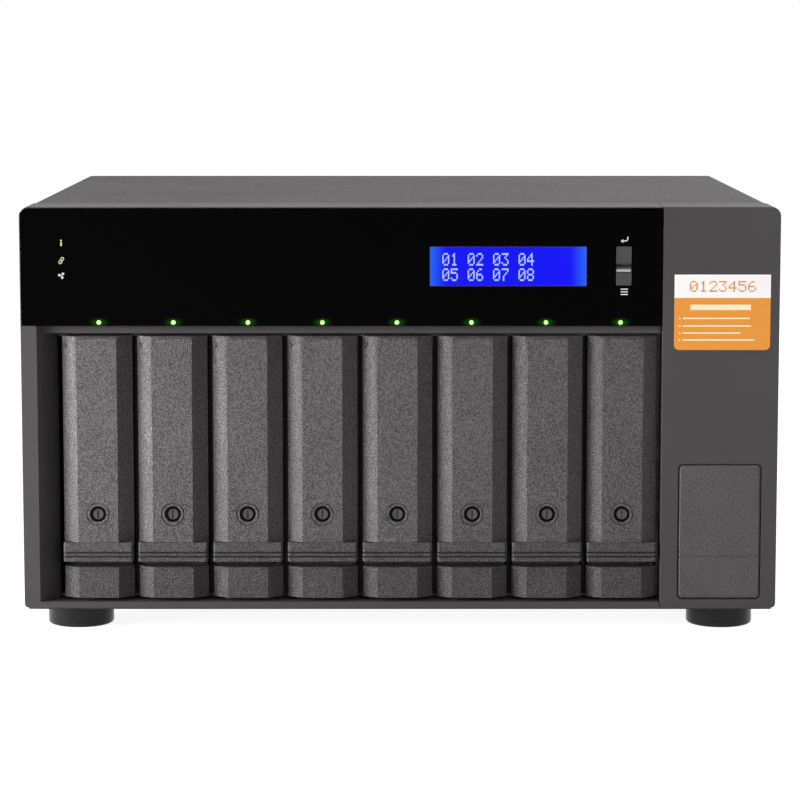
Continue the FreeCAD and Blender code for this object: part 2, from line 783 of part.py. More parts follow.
def make_service_plate():
    """Blind plate set flush in the column, bevelled all round, with a groove across it."""
    body = new_body("access_plate")
    pad(body, "XZ", "0", "plate_thickness",
        box("plate_x", "plate_x + plate_width", "plate_z", "plate_z + plate_height"))
    soften(body, "Fillet", "plate_radius", *[
        along("Y", x=across, z=up)
        for across in ("plate_x", "plate_x + plate_width") for up in ("plate_z", "plate_z + plate_height")
    ])
    soften(body, "Chamfer", "0.7", along("X", y="0"), along("Z", y="0"))
    cut(body, "XZ", "-1", "1.35", box(
        "plate_x - 1", "plate_x + plate_width + 1",
        "plate_z + plate_groove_rise", "plate_z + plate_groove_rise + 0.5"))
    keep(body, "access_plate")


# ---- sheet-metal chassis ----

def make_pan():
    """Floor of the chassis with folded sides and rows of slots below the fans."""
    body = new_body("base_pan")
    start = "collar_depth + 0.5"
    inner = "pan_half - sheet"
    pad(body, "XZ", start, f"panel_front - ({start})", mirrored([
        ("pan_half", "foot_height"), ("pan_half", "pan_top + pan_flange"),
        (inner, "pan_top + pan_flange"), (inner, "pan_top"),
    ]))
    pad(body, "XZ", "pan_setback", f"{start} - pan_setback + 1",
        box("-pan_half", "pan_half", "foot_height", "pan_top"))
    slots = []
    for n in range(int(value("vents"))):
        across = f"fan_first - fan_size/2 + {n}*2*vent_pitch"
        slots.append(box(across, f"{across} + vent_width", "backplane_rear + 14", "fan_front - 14"))
    cut(body, "XY", "foot_height - 1", "pan_thickness + 2", *slots)
    keep(body, "base_pan")


def make_cover():
    """Top cover: one sheet bent over both sides, with side vents and a lip folded over the rear."""
    body = new_body("top_cover")
    bottom = "foot_height + 0.2"
    lip = "cover_half - cover_lip"
    outside = mirrored([("cover_half", bottom), ("cover_half", "cover_top")])
    pad(body, "XZ", "collar_depth", "panel_rear - collar_depth",
        outside + mirrored([("-pan_half", bottom), ("-pan_half", "panel_top")]))
    pad(body, "XZ", "panel_rear", "sheet",
        outside + mirrored([("-(" + lip + ")", bottom), ("-(" + lip + ")", "cover_top - cover_lip")]))
    soften(body, "Fillet", "upper_corner_radius",
           along("Y", x="cover_half", z="cover_top"), along("Y", x="-cover_half", z="cover_top"))
    soften(body, "Fillet", "upper_corner_radius - sheet",
           along("Y", x="pan_half", z="panel_top"), along("Y", x="-pan_half", z="panel_top"))
    slots = []
    for n in range(int(value("vents"))):
        start = f"collar_depth + 20 + {n}*vent_pitch"
        slots.append(box(start, f"{start} + vent_width", "pan_top + 24", "pan_top + 24 + vent_height"))
    cut(body, "YZ", "-cover_half - 1", "sheet + 2", *slots)
    cut(body, "YZ", "cover_half - sheet - 1", "sheet + 2", *slots)
    cut(body, "XZ", "panel_rear - 0.5", "sheet + 1",
        *[ring(across, up, "thumb_shank_radius + screw_play") for across, up in thumb_spots()])
    keep(body, "top_cover")


def thumb_spots():
    """Thumbscrews stand in the cover's rear lip, two a side."""
    across = "cover_half - cover_lip/2 - 0.3"
    return [
        (side + across + ")", up) for side in ("(", "-(") for up in ("pan_top + 26", "cover_top - 22")
    ]


def fan_centres():
    return ["fan_first", "fan_first + fan_pitch"]


def fan_screw_spots():
    reach = "fan_screw_spacing/2"
    return [
        (f"{centre} {side} {reach}", f"fan_height {up} {reach}")
        for centre in fan_centres() for side in "+-" for up in "+-"
    ]


def port_heights():
    return ["port_first", "port_first + port_spacing"]


def hexagon_grille():
    """Cutter for both exhaust grilles: hexagon prisms on a triangular grid, kept inside each bore."""
    pitch = value("hex_pitch")
    corner = (pitch - value("hex_web")) / math.sqrt(3)
    limit = value("fan_bore_radius") - corner
    front = value("panel_front - 1")
    sweep = FreeCAD.Vector(0, value("sheet + 2"), 0)
    rows = math.ceil(limit / pitch) + 1
    prisms = []
    for centre in fan_centres():
        for row in range(-rows, rows + 1):
            for column in range(-rows, rows + 1):
                across = pitch * (column + 0.5 * (row % 2))
                up = pitch * math.sqrt(3) / 2 * row
                if math.hypot(across, up) > limit:
                    continue
                middle = FreeCAD.Vector(value(centre) + across, front, value("fan_height") + up)
                turns = [math.radians(30 + 60 * n) for n in range(7)]
                corners = [
                    middle + FreeCAD.Vector(corner * math.cos(turn), 0, corner * math.sin(turn))
                    for turn in turns
                ]
                prisms.append(Part.Face(Part.makePolygon(corners)).extrude(sweep))
    cutter = doc.addObject("Part::Feature", "GrilleCutter")
    cutter.Shape = Part.Compound(prisms)
    cutter.Placement.Base = FreeCAD.Vector(0, -value("total_depth") / 2, 0)
    return cutter


def make_rear_panel():
    """Rear wall with its top flange, the exhaust grilles and the cut-outs for supply and ports."""
    body = new_body("rear_wall")
    pad(body, "XZ", "panel_front", "sheet", box("-pan_half", "pan_half", "foot_height", "panel_top"))
    soften(body, "Fillet", "upper_corner_radius - sheet/2",
           along("Y", x="pan_half", z="panel_top"), along("Y", x="-pan_half", z="panel_top"))
    flange = "(half - 3*upper_corner_radius)"
    pad(body, "XZ", "panel_front - rear_flange", "rear_flange + sheet/2",
        box("-" + flange, flange, "panel_top - sheet", "panel_top"))
    holes = [ring(across, up, "screw_radius + screw_play") for across, up in fan_screw_spots()]
    holes += [ring(across, up, "thumb_shank_radius + screw_play") for across, up in thumb_spots()]
    holes.append(box("supply_left + 2", "supply_left + supply_width - 2", "pan_top + 2", "supply_top - 2"))
    holes.append(ring("power_button_x", "power_button_z", "power_button_radius + button_play"))
    for up in port_heights():
        holes.append(box("port_left - seam", "port_left + port_width + seam",
                         f"{up} - port_height/2 - seam", f"{up} + port_height/2 + seam"))
    cut(body, "XZ", "panel_front - 0.5", "sheet + 1", *holes)
    panel = doc.addObject("Part::Cut", "rear_panel")
    panel.Base = body
    panel.Tool = hexagon_grille()
    keep(panel, "rear_panel")


def make_feet():
    """Four round feet: plain rubber cups with a bevelled tread."""
    left = "foot_inset - half"
    right = "half - foot_inset"
    rear = "shell_depth - foot_rear_inset"
    master = new_body("foot", x=left, y="foot_front")
    spin(master, [
        ("0", "0"), ("foot_radius - foot_bevel", "0"), ("foot_radius", "foot_bevel"),
        ("foot_radius", "foot_height"), ("0", "foot_height"),
    ], plane="XZ")
    feet = [master]
    feet += [
        copy(master, "foot_copy", x=across, y=depth)
        for across, depth in ((right, "foot_front"), (left, rear), (right, rear))
    ]
    keep_group("feet", feet)


# ---- drive cage, guides and backplane ----

def make_cage():
    """Steel shelves above and below the trays, between two side plates that stand on the pan."""
    leg_start = "collar_depth + 1"
    sides = []
    for name, left in (("cage_left_side", "cage_left - sheet"), ("cage_right_side", "cage_right")):
        side = new_body(name)
        pad(side, "YZ", left, "sheet", [
            ("cage_front", "cage_floor"), (leg_start, "cage_floor"), (leg_start, "pan_top"),
            ("backplane_front", "pan_top"), ("backplane_front", "guide_roof"), ("cage_front", "guide_roof"),
        ])
        sides.append(side)
    shelf = new_body("lower_shelf")
    length = "backplane_front - cage_front"
    pad(shelf, "XZ", "cage_front", length, box("cage_left", "cage_right", "cage_floor", "guide_floor"))
    roof = new_body("upper_shelf")
    pad(roof, "XZ", "cage_front", length,
        box("cage_left - sheet", "cage_right + sheet", "guide_roof", "cage_roof"))
    slots = []
    for n in range(int(value("bays")) - 1):
        middle = f"first_bay + {n}*tray_pitch + tray_pitch/2"
        slots.append(box(f"{middle} - 4", f"{middle} + 4", "cage_front + 36", "backplane_front - 24"))
    cut(roof, "XY", "guide_roof - 0.5", "sheet + 1", *slots)
    keep_group("drive_cage", sides + [shelf, roof])


def make_guides():
    """Plastic channels above and below each tray, in which its ribs run, and a divider between bays."""
    inner = "tray_rib_width/2 + guide_side_gap"
    rails = []
    for name, base, edge, lip in (
        ("lower_guide", "guide_floor", "guide_floor + guide_base", "rail_bottom - slide_gap"),
        ("upper_guide", "guide_roof", "guide_roof - guide_base", "rail_top + slide_gap"),
    ):
        body = new_body(name, x="first_bay")
        pad(body, "XZ", "cage_front + 2", "carrier_rear - cage_front", mirrored([
            ("guide_width/2", base), ("guide_width/2", edge), (f"{inner} + 2", edge),
            (f"{inner} + 2", lip), (inner, lip), (inner, edge),
        ]))
        rails.append(body)
        for n in range(1, int(value("bays"))):
            rails.append(copy(body, name + "_copy", x=f"first_bay + {n}*tray_pitch"))
    divider = new_body("bay_divider", x="first_bay + tray_pitch/2")
    pad(divider, "XZ", "cage_front", "divider_depth",
        box("-divider_thickness/2", "divider_thickness/2", "guide_floor", "guide_roof"))
    rails.append(divider)
    for n in range(1, int(value("bays")) - 1):
        rails.append(copy(divider, "divider_copy", x=f"first_bay + tray_pitch/2 + {n}*tray_pitch"))
    keep_group("guide_rails", rails)


def make_backplane():
    """Board across the cage's rear with an air slot between the drives, and one socket a drive."""
    body = new_body("backplane_board")
    pad(body, "XZ", "backplane_front", "board_thickness",
        box("cage_left - sheet", "cage_right + sheet", "cage_floor", "cage_roof"))
    slots = []
    for n in range(int(value("bays")) - 1):
        middle = f"first_bay + {n}*tray_pitch + tray_pitch/2"
        slots.append(box(f"{middle} - 6", f"{middle} + 6", "guide_floor + 8", "guide_roof - 30"))
    cut(body, "XZ", "backplane_front - 0.5", "board_thickness + 1", *slots)
    keep(body, "backplane_board")
    socket = new_body("socket", x="first_bay")
    low = "drive_bottom + socket_rise"
    pad(socket, "XZ", "backplane_front - socket_depth", "socket_depth",
        box("drive_left + 3", "drive_left + 3 + socket_width", low, f"{low} + socket_height"))
    cut(socket, "XZ", "backplane_front - socket_depth - 1", "5",
        box("drive_left + 5", "drive_left + 6.5", f"{low} + 3", f"{low} + 13"),
        box("drive_left + 5", "drive_left + 6.5", f"{low} + 16", f"{low} + socket_height - 3"))
    sockets = [socket]
    for n in range(1, int(value("bays"))):
        sockets.append(copy(socket, "socket_copy", x=f"first_bay + {n}*tray_pitch"))
    keep_group("drive_sockets", sockets)


# ---- fans ----

def make_fans():
    """Two exhaust fans: square frames with motor struts, and bladed rotors on their shafts."""
    frame = new_body("fan_frame", x="fan_first", z="fan_height")
    edge = "fan_size/2"
    reach = "fan_screw_spacing/2"
    pad(frame, "XZ", "fan_front", "fan_depth", square("0", "0", edge), ring("0", "0", "fan_bore_radius"), *[
        ring(side + reach, up + reach, "screw_radius + screw_play") for side in ("", "-") for up in ("", "-")
    ])
    soften(frame, "Chamfer", "3", *[
        along("Y", x=across, z=up) for across in (edge, "-" + edge) for up in (edge, "-" + edge)
    ])
    hub_front = "(panel_front - fan_strut)"
    add_hub(frame, hub_front, "fan_bore_radius", "fan_strut", "fan_hub_radius", "fan_shaft_radius")
    keep_group("fan_frames", [frame, copy(frame, "fan_frame_copy", x="fan_first + fan_pitch", z="fan_height")])
    rotor = make_rotor(
        "fan_rotor_left", "fan_first", "fan_height", "(fan_front + 2)", hub_front,
        "fan_hub_radius", "fan_bore_radius - 3", "fan_shaft_radius", "fan_blades")
    keep(rotor, "fan_rotor_left")
    keep(copy(rotor, "fan_rotor_right", x="fan_first + fan_pitch", z="fan_height"), "fan_rotor_right")


def add_hub(frame, front, bore, strut, hub, shaft):
    """Crossed struts over a fan frame's bore, and the motor disc with its shaft hole."""
    for across, up in ((f"({bore} + 0.5)", f"{strut}/2"), (f"{strut}/2", f"({bore} + 0.5)")):
        pad(frame, "XZ", front, strut, box("-" + across, across, "-" + up, up))
    pad(frame, "XZ", front, strut, ring("0", "0", hub))
    cut(frame, "XZ", f"{front} - 0.5", f"{strut} + 1", ring("0", "0", f"{shaft} + pin_play"))


def make_rotor(label, x, z, front, motor, hub, tip, shaft, blades):
    """Hub with a shaft stub in the motor disc, and pitched blades that widen from hub to tip."""
    body = new_body(label, x=x, z=z)
    rear = f"({motor} - fan_running_gap)"
    stub = f"{motor} + fan_shaft_reach*0.8"
    spin(body, [("0", front), (hub, front), (hub, rear), (shaft, rear), (shaft, stub), ("0", stub)])
    span = f"({rear} - {front})"
    root = draw(body, "XY", f"{hub} - 1", [blade_section(front, span, hub, 0.42, 0.62)])
    end = draw(body, "XY", tip, [blade_section(front, span, hub, 0.60, 0.864)])
    blade = body.newObject("PartDesign::AdditiveLoft", "Blade")
    blade.Profile = root
    blade.Sections = [end]
    blade.Ruled = True
    around(body, blade, blades)
    return body


def blade_section(front, span, hub, reach, rise):
    """Thin slanted section, `reach` of the hub's radius to each side and `rise` of the span deep.
    Both ends of a blade have one slant, so its faces are flat."""
    start = f"{front} + {span}*(1 - {rise})/2"
    end = f"{front} + {span}*(1 + {rise})/2"
    skin = f"{span}*0.05"
    return [
        (f"-({hub})*{reach}", start), (f"({hub})*{reach}", f"{end} - {skin}"),
        (f"({hub})*{reach}", end), (f"-({hub})*{reach}", f"{start} + {skin}"),
    ]


# ---- power supply and controller ----

def make_supply():
    """Narrow power supply on edge: a square tube closed by slotted plates, its fan frame and rotor."""
    right = "supply_left + supply_width"
    outside = box("supply_left", right, "pan_top", "supply_top")
    inside = box("supply_left + sheet", f"{right} - sheet", "pan_top + sheet", "supply_top - sheet")
    tube = new_body("supply_tube")
    pad(tube, "XZ", "supply_front", "supply_length", outside, inside)
    slots = []
    bars = 5
    for n in range(bars):
        offset = f"(supply_fan_radius*{2 * (n - (bars - 1) / 2) / bars})"
        reach = f"(0.92*sqrt(supply_fan_radius*supply_fan_radius - {offset}*{offset}))"
        low = f"supply_fan_height + {offset} - supply_fan_radius*0.13"
        high = f"{low} + supply_fan_radius*0.26"
        slots.append(box(f"supply_middle - {reach}", f"supply_middle + {reach}", low, high))
    slots.append(box("supply_middle - inlet_width/2 - 0.1", "supply_middle + inlet_width/2 + 0.1",
                     "inlet_height_at - inlet_height/2 - 0.1", "inlet_height_at + inlet_height/2 + 0.1"))
    rear_plate = new_body("supply_rear_plate")
    pad(rear_plate, "XZ", "panel_front - sheet", "sheet", inside, *slots)
    front_plate = new_body("supply_front_plate")
    pad(front_plate, "XZ", "supply_front", "sheet", inside, *[
        box("supply_left + 6", f"{right} - 6", f"pan_top + 10 + {n}*10", f"pan_top + 15 + {n}*10")
        for n in range(6)
    ])
    frame = new_body("supply_fan_frame", x="supply_middle", z="supply_fan_height")
    pad(frame, "XZ", "supply_fan_front", "supply_fan_depth",
        square("0", "0", "supply_width/2 - sheet - 0.2"), ring("0", "0", "supply_fan_radius"))
    hub_front = "(panel_front - sheet - 2)"
    add_hub(frame, hub_front, "supply_fan_radius", "2", "supply_hub_radius", "supply_shaft_radius")
    keep_group("power_supply_case", [tube, rear_plate, front_plate, frame])
    rotor = make_rotor(
        "power_supply_fan_rotor", "supply_middle", "supply_fan_height", "(supply_fan_front + 1)", hub_front,
        "supply_hub_radius", "supply_fan_radius - 1.2", "supply_shaft_radius", "5")
    keep(rotor, "power_supply_fan_rotor")


def make_inlet():
    """Three-pin mains inlet on the supply's rear face: flanged body with its recess, and the pins."""
    body = new_body("inlet_body", x="supply_middle", z="inlet_height_at")
    rear = "panel_front + inlet_flange"
    wide = "inlet_width/2"
    tall = "inlet_height/2"
    pad(body, "XZ", "panel_front - 19", "19", box("-" + wide, wide, "-" + tall, tall))
    pad(body, "XZ", "panel_front", "inlet_flange",
        box(f"-{wide} - 2", f"{wide} + 2", f"-{tall} - 2", f"{tall} + 2"))
    inner = f"{wide} - 1.9"
    high = f"{tall} - 1.9"
    cut(body, "XZ", f"{rear} - inlet_recess", "inlet_recess + 1", [
        ("-(" + inner + ")", "-(" + high + ")"), (f"{inner} - 5", "-(" + high + ")"), (inner, f"5 - ({high})"),
        (inner, f"{high} - 5"), (f"{inner} - 5", high), ("-(" + inner + ")", high),
    ])
    pieces = [body]
    for across, up in (("-2", "-7"), ("-2", "7"), ("2", "0")):
        prong = new_body("prong", x=f"supply_middle + {across}", z=f"inlet_height_at + {up}")
        pad(prong, "XZ", f"{rear} - inlet_recess", "inlet_recess - 5", box("-2", "2", "-1", "1"))
        pieces.append(prong)
    keep_group("mains_inlet", pieces)


def make_controller():
    """Controller board on edge above the supply, with its finned heat sink and the power switch."""
    board = new_body("controller")
    top = "power_button_z + 7"
    pad(board, "YZ", "board_left", "board_thickness",
        box("panel_front - 72", "panel_front - 1", "supply_top", top))
    switch = new_body("power_switch", x="power_button_x", z="power_button_z")
    rear = "panel_front - 3.7"
    pad(switch, "XZ", f"{rear} - 10", "10", box("port_left - power_button_x", "6", "-6", "6"))
    sink = new_body("heat_sink", z="port_first - 8")
    pad(sink, "YZ", "port_left", "2", box("panel_front - 66", "panel_front - 34", "0", "36"))
    pad(sink, "YZ", "port_left + 1.5", "9", *[
        box("panel_front - 66", "panel_front - 34", f"{n}*7", f"{n}*7 + 1.2") for n in range(6)
    ])
    keep_group("controller_board", [board, switch, sink])


def make_ports():
    """Two shielded data ports, each with a contact tongue in its mouth."""
    master = new_body("port", z="port_first")
    right = "port_left + port_width"
    half = "port_height/2"
    wall = "port_wall"
    pad(master, "XZ", "port_rear - port_length", "port_length", box("port_left", right, "-" + half, half))
    cut(master, "XZ", "port_rear - 16", "17",
        box(f"port_left + {wall}", f"{right} - {wall}", f"-{half} + {wall}", f"{half} - {wall}"))
    pad(master, "XZ", "port_rear - 17", "11",
        box("port_left + port_wall + 1", "port_left + port_wall + 2.4", f"-{half} + 4", f"{half} - 4"))
    keep_group("data_ports", [master, copy(master, "port_copy", z="port_first + port_spacing")])


def make_power_button():
    """Round sprung button in the rear panel, held by its collar behind the sheet."""
    body = new_body("power_button", x="power_button_x", z="power_button_z")
    spin(body, [
        ("0", "panel_front - 2.5"), ("power_button_radius + 1.5", "panel_front - 2.5"),
        ("power_button_radius + 1.5", "panel_front - 0.3"), ("power_button_radius", "panel_front - 0.3"),
        ("power_button_radius", "panel_rear + 2"), ("0", "panel_rear + 2"),
    ])
    keep(body, "power_button")


# ---- screws and wiring ----

def make_fasteners():
    """Thumbscrews through the cover's lip, and the fans' hexagon-headed screws."""
    thumb = new_body("thumbscrew", *thumb_spots()[0])
    pad(thumb, "XZ", "panel_front - thumb_reach", "shell_depth - panel_front + thumb_reach",
        ring("0", "0", "thumb_shank_radius"))
    pad(thumb, "XZ", "shell_depth", "thumb_head", even("thumb_head_radius", 12))
    screw = new_body("fan_screw", *fan_screw_spots()[0])
    pad(screw, "XZ", "panel_front - screw_reach", "panel_rear - panel_front + screw_reach",
        ring("0", "0", "screw_radius"))
    pad(screw, "XZ", "panel_rear", "screw_head", even("screw_head_radius", 6))
    pieces = [thumb, screw]
    pieces += [copy(thumb, "thumbscrew_copy", x=across, z=up) for across, up in thumb_spots()[1:]]
    pieces += [copy(screw, "fan_screw_copy", x=across, z=up) for across, up in fan_screw_spots()[1:]]
    keep_group("fasteners", pieces)


def make_harness():
    """Inner wiring: the supply's lead to the backplane, and the ribbon over the cage to the front board."""
    lead = new_body("supply_lead", z="fan_height - lead_width/2")
    half = "lead_thickness/2"
    bend = "supply_left - lead_run"
    turn = "backplane_rear + lead_run"
    pad(lead, "XY", "0", "lead_width", [
        (f"{bend} - {half}", "backplane_rear"), (f"{bend} + {half}", "backplane_rear"),
        (f"{bend} + {half}", f"{turn} - {half}"), ("supply_left", f"{turn} - {half}"),
        ("supply_left", f"{turn} + {half}"), (bend, f"{turn} + {half}"), (f"{bend} - {half}", turn),
    ])
    ribbon = new_body("ribbon")
    thick = "ribbon_thickness"
    board = "board_depth + board_thickness"
    drop = "cage_front + 2"
    level = "fascia_bottom + 14"
    pad(ribbon, "YZ", "bezel_right - 30 - ribbon_width", "ribbon_width", [
        (board, level), (drop, level), (drop, "cage_roof"),
        ("backplane_rear", "cage_roof"), ("backplane_rear", "cage_roof - 12"),
        (f"backplane_rear + {thick}", "cage_roof - 12"), (f"backplane_rear + {thick}", f"cage_roof + {thick}"),
        (f"{drop} + {thick}", f"cage_roof + {thick}"), (f"{drop} + {thick}", f"{level} + {thick}"),
        (board, f"{level} + {thick}"),
    ])
    keep_group("wiring_harness", [lead, ribbon])


def check_and_export():
    """Stops on any failed object, then writes one STEP file for each node."""
    doc.recompute()
    for thing in doc.Objects:
        if "Invalid" in thing.State or "Error" in thing.State:
            raise RuntimeError(f"{thing.Label} ({thing.Name}) failed: {thing.State}")
    os.makedirs("parts", exist_ok=True)
    for label, thing in nodes.items():
        shape = Part.getShape(thing)
        if shape.isNull() or not shape.isValid() or not shape.Solids:
            raise RuntimeError(f"{label}: not a valid solid")
        shape.exportStep(f"parts/{label}.step")
        print(f"{label}: {len(shape.Solids)} solids, {shape.Volume:.0f} mm3")
    print(f"{len(nodes)} nodes")


make_trays()
keep(make_bezel(), "bay_bezel")
make_fascia()
make_display()
make_buttons()
make_light_pipes()
make_front_board()
make_column()
make_service_plate()
make_pan()
make_cover()
make_rear_panel()
make_feet()
make_cage()
make_guides()
make_backplane()
make_fans()
make_supply()
make_inlet()
make_controller()
make_ports()
make_power_button()
make_fasteners()
make_harness()
check_and_export()
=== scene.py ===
"""Eight-bay disk shelf enclosure: its visual pieces, finishes and studio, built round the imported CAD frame.
Pieces are worked out in millimetres and become metres in make_piece. Shaders count in metres."""

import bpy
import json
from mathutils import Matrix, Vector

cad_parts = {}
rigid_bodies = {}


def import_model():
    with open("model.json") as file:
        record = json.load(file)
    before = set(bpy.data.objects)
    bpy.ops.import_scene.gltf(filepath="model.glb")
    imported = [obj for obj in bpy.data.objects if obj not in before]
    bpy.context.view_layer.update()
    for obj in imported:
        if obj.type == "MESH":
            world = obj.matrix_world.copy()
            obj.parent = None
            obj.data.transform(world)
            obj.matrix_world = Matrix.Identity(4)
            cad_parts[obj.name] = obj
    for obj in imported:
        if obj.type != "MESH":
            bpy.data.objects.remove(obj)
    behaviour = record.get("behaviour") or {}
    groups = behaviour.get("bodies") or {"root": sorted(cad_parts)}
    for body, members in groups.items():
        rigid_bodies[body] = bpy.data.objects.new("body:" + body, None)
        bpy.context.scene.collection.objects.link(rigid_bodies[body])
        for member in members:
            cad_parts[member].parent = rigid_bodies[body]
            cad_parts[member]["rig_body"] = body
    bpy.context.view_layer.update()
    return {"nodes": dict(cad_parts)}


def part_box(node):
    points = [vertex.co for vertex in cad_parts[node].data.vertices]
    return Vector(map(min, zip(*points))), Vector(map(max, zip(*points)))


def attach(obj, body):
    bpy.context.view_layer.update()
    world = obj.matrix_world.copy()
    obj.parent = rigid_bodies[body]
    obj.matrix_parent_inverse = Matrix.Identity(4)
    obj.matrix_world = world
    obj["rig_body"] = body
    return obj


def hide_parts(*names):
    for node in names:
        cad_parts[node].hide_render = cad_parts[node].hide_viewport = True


bl_info = {
    "name": "Disk Shelf Enclosure",
    "version": (1, 0, 0),
    "blender": (4, 5, 0),
    "location": "3D View > Sidebar > Disk Shelf",
    "description": "Builds the front mouldings, tray handles, lamps, display and finishes of a disk shelf",
    "category": "Add Mesh",
}

import json
import math
from functools import partial

import bmesh
import bpy
import numpy as np
from bpy.props import FloatProperty, FloatVectorProperty, IntProperty, PointerProperty
from mathutils import Vector

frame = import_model()
FINISHES = {}

MM = 0.001
TRAYS = range(1, 9)

# Places and sizes of the CAD part that its detailed pieces repeat, in millimetres.
FRONT = -140.0                              # the foremost plane of the shelf
CHAMFER_WIDTH, CHAMFER_DEPTH = 6.5, 4.5     # bevelled side of a tray handle
TOP_BEVEL = 1.2
LIP_HEIGHT, LIP_PROUD = 8.4, 0.9            # finger lip at the handle's foot
GROOVE_HALF, GROOVE_DEPTH = 0.35, 0.6
GROOVE_DROPS = (6.2, 4.4)                   # the grooves, measured down from the lip's upper edge
PIN_INSET, PIN_RADIUS = 4.0, 1.25           # cross pin of the handle's hinge
LOCK_HEIGHT = 53.7                          # axis of the key locks
DISPLAY = (12.9, 80.7, 153.8, 170.9)        # left, right, bottom and top of the display's window
LAMP_FIRST, LAMP_PITCH, LAMP_HEIGHT = -130.5, 32.3, 138.0
STATUS_X, KEYS_X = -146.4, 96.8             # middles of the status symbols and of the key symbols
FOOT_SPOTS = [(x, y) for x in (-143, 143) for y in (-109, 109)]
FAN_CENTRES, FAN_HEIGHT, FAN_SCREW_REACH = (-80.0, 44.0), 76.0, 52.5
PORT_HEIGHTS = (112.8, 146.8)
WALL_REAR, COVER_REAR = 134.0, 135.0        # rear faces of the rear panel and of the cover's lip


# ---- arrays to meshes ----

def grid_faces(rows, columns, wrap=False):
    """Quads of a grid of rows and columns, numbered row by row; wrap joins the last column to the first."""
    r = np.arange(rows - 1)[:, None] * columns
    c = np.arange(columns if wrap else columns - 1)[None, :]
    n = (c + 1) % columns
    return np.stack([r + c, r + n, r + columns + n, r + columns + c], -1).reshape(-1, 4)


def revolve(profile, centre, axis="Z", segments=64, shapes=()):
    """A surface of revolution: point (r, h) of the profile at angle t lies at r cos t, r sin t, h. Each row's
    radius may be multiplied by a shape of t, given by the row's number. A radius of 0 closes a pole."""
    profile = np.asarray(profile, float)
    turn = np.linspace(0, 2 * math.pi, segments, endpoint=False)
    scale = np.ones((len(profile), segments))
    for row, shape in dict(shapes).items():
        scale[row] = shape(turn)
    r = profile[:, :1] * scale
    a, b, h = r * np.cos(turn), r * np.sin(turn), np.repeat(profile[:, 1:2], segments, 1)
    order = {"Z": (a, b, h), "Y": (a, h, b), "X": (h, a, b)}[axis]
    points = np.stack(order, -1).reshape(-1, 3) + np.asarray(centre, float)
    return points, grid_faces(len(profile), segments, wrap=True)


def prism(outline, front, back):
    """A closed prism: the outline of (x, z) points at depths front and back, joined by side quads."""
    outline = np.asarray(outline, float)
    n = len(outline)
    points = np.concatenate([np.insert(outline, 1, front, 1), np.insert(outline, 1, back, 1)])
    k = np.arange(n)
    sides = np.stack([k, k + n, (k + 1) % n + n, (k + 1) % n], -1)
    return points, [list(k), list(k[::-1] + n)] + sides.tolist()


def slab(x0, x1, z0, z1, front, back):
    return prism([(x0, z0), (x1, z0), (x1, z1), (x0, z1)], front, back)


def ribbon(path, width, front, back, closed=False):
    """A flat band along a path of (x, z) points: each point moves half the width along its normal, both ways."""
    path = np.asarray(path, float)
    if closed:
        ahead, behind = np.roll(path, -1, 0), np.roll(path, 1, 0)
    else:
        ahead = np.vstack([path[1:], path[-1:]])
        behind = np.vstack([path[:1], path[:-1]])
    along = ahead - behind
    along /= np.linalg.norm(along, axis=1, keepdims=True)
    aside = np.stack([-along[:, 1], along[:, 0]], -1) * width / 2
    rows = [np.insert(path + s * aside, 1, y, 1) for s, y in ((1, front), (-1, front), (-1, back), (1, back))]
    points = np.stack(rows, 1).reshape(-1, 3)
    faces = grid_faces(len(path), 4, wrap=True).tolist()
    last = 4 * (len(path) - 1)
    if closed:
        faces += [[last + i, last + (i + 1) % 4, (i + 1) % 4, i] for i in range(4)]
    else:
        faces += [[3, 2, 1, 0], [last, last + 1, last + 2, last + 3]]
    return points, faces


def cross(turn, arm=1.0, half=0.28):
    """Radius of a plus sign of arms and half width, in the direction turn: the farther of its two bars' edges."""
    c, s = np.abs(np.cos(turn)) + 1e-9, np.abs(np.sin(turn)) + 1e-9
    return np.maximum(np.minimum(arm / c, half / s), np.minimum(arm / s, half / c))


def arc(x, z, radius, start, end, steps=12):
    """Points of an arc about (x, z), from the start angle to the end angle in degrees."""
    t = np.radians(np.linspace(start, end, steps))
    return np.stack([x + radius * np.cos(t), z + radius * np.sin(t)], -1)


def joined(parts):
    """Several (points, faces) surfaces as one."""
    points, faces, start = [], [], 0
    for part_points, part_faces in parts:
        points.append(part_points)
        faces += [[i + start for i in face] for face in np.asarray(part_faces, dtype=object).tolist()]
        start += len(part_points)
    return np.concatenate(points), faces


# ---- pieces ----

def node_box(node):
    """Lowest and highest corner of a CAD node, in millimetres."""
    low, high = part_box(node)
    return np.array(low) / MM, np.array(high) / MM


def make_piece(name, surface, slot, look="", body="enclosure", replaces=(), smooth=35):
    """A mesh object from points in millimetres and faces, merged by distance, facing outwards, on its body."""
    points, faces = surface
    mesh = bpy.data.meshes.new(name)
    mesh.from_pydata((np.asarray(points) * MM).tolist(), [], [[int(i) for i in face] for face in faces])
    shell = bmesh.new()
    shell.from_mesh(mesh)
    bmesh.ops.remove_doubles(shell, verts=shell.verts, dist=1e-7)
    bmesh.ops.dissolve_degenerate(shell, edges=shell.edges, dist=1e-7)
    bmesh.ops.recalc_face_normals(shell, faces=shell.faces)
    shell.to_mesh(mesh)
    shell.free()
    return finish_piece(name, mesh, slot, look, body, replaces, smooth)


def finish_piece(name, mesh, slot, look, body, replaces, smooth):
    """Puts a mesh into the scene: smooth shading up to an angle, body, slot and the nodes it stands for. Its
    finish is the slot's own unless another is named."""
    piece = bpy.data.objects.new(name, mesh)
    bpy.context.scene.collection.objects.link(piece)
    mesh.shade_smooth()
    mesh.set_sharp_from_angle(angle=math.radians(smooth))
    mesh.materials.append(FINISHES[look or slot])
    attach(piece, body)
    if replaces:
        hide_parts(*replaces)
    return piece


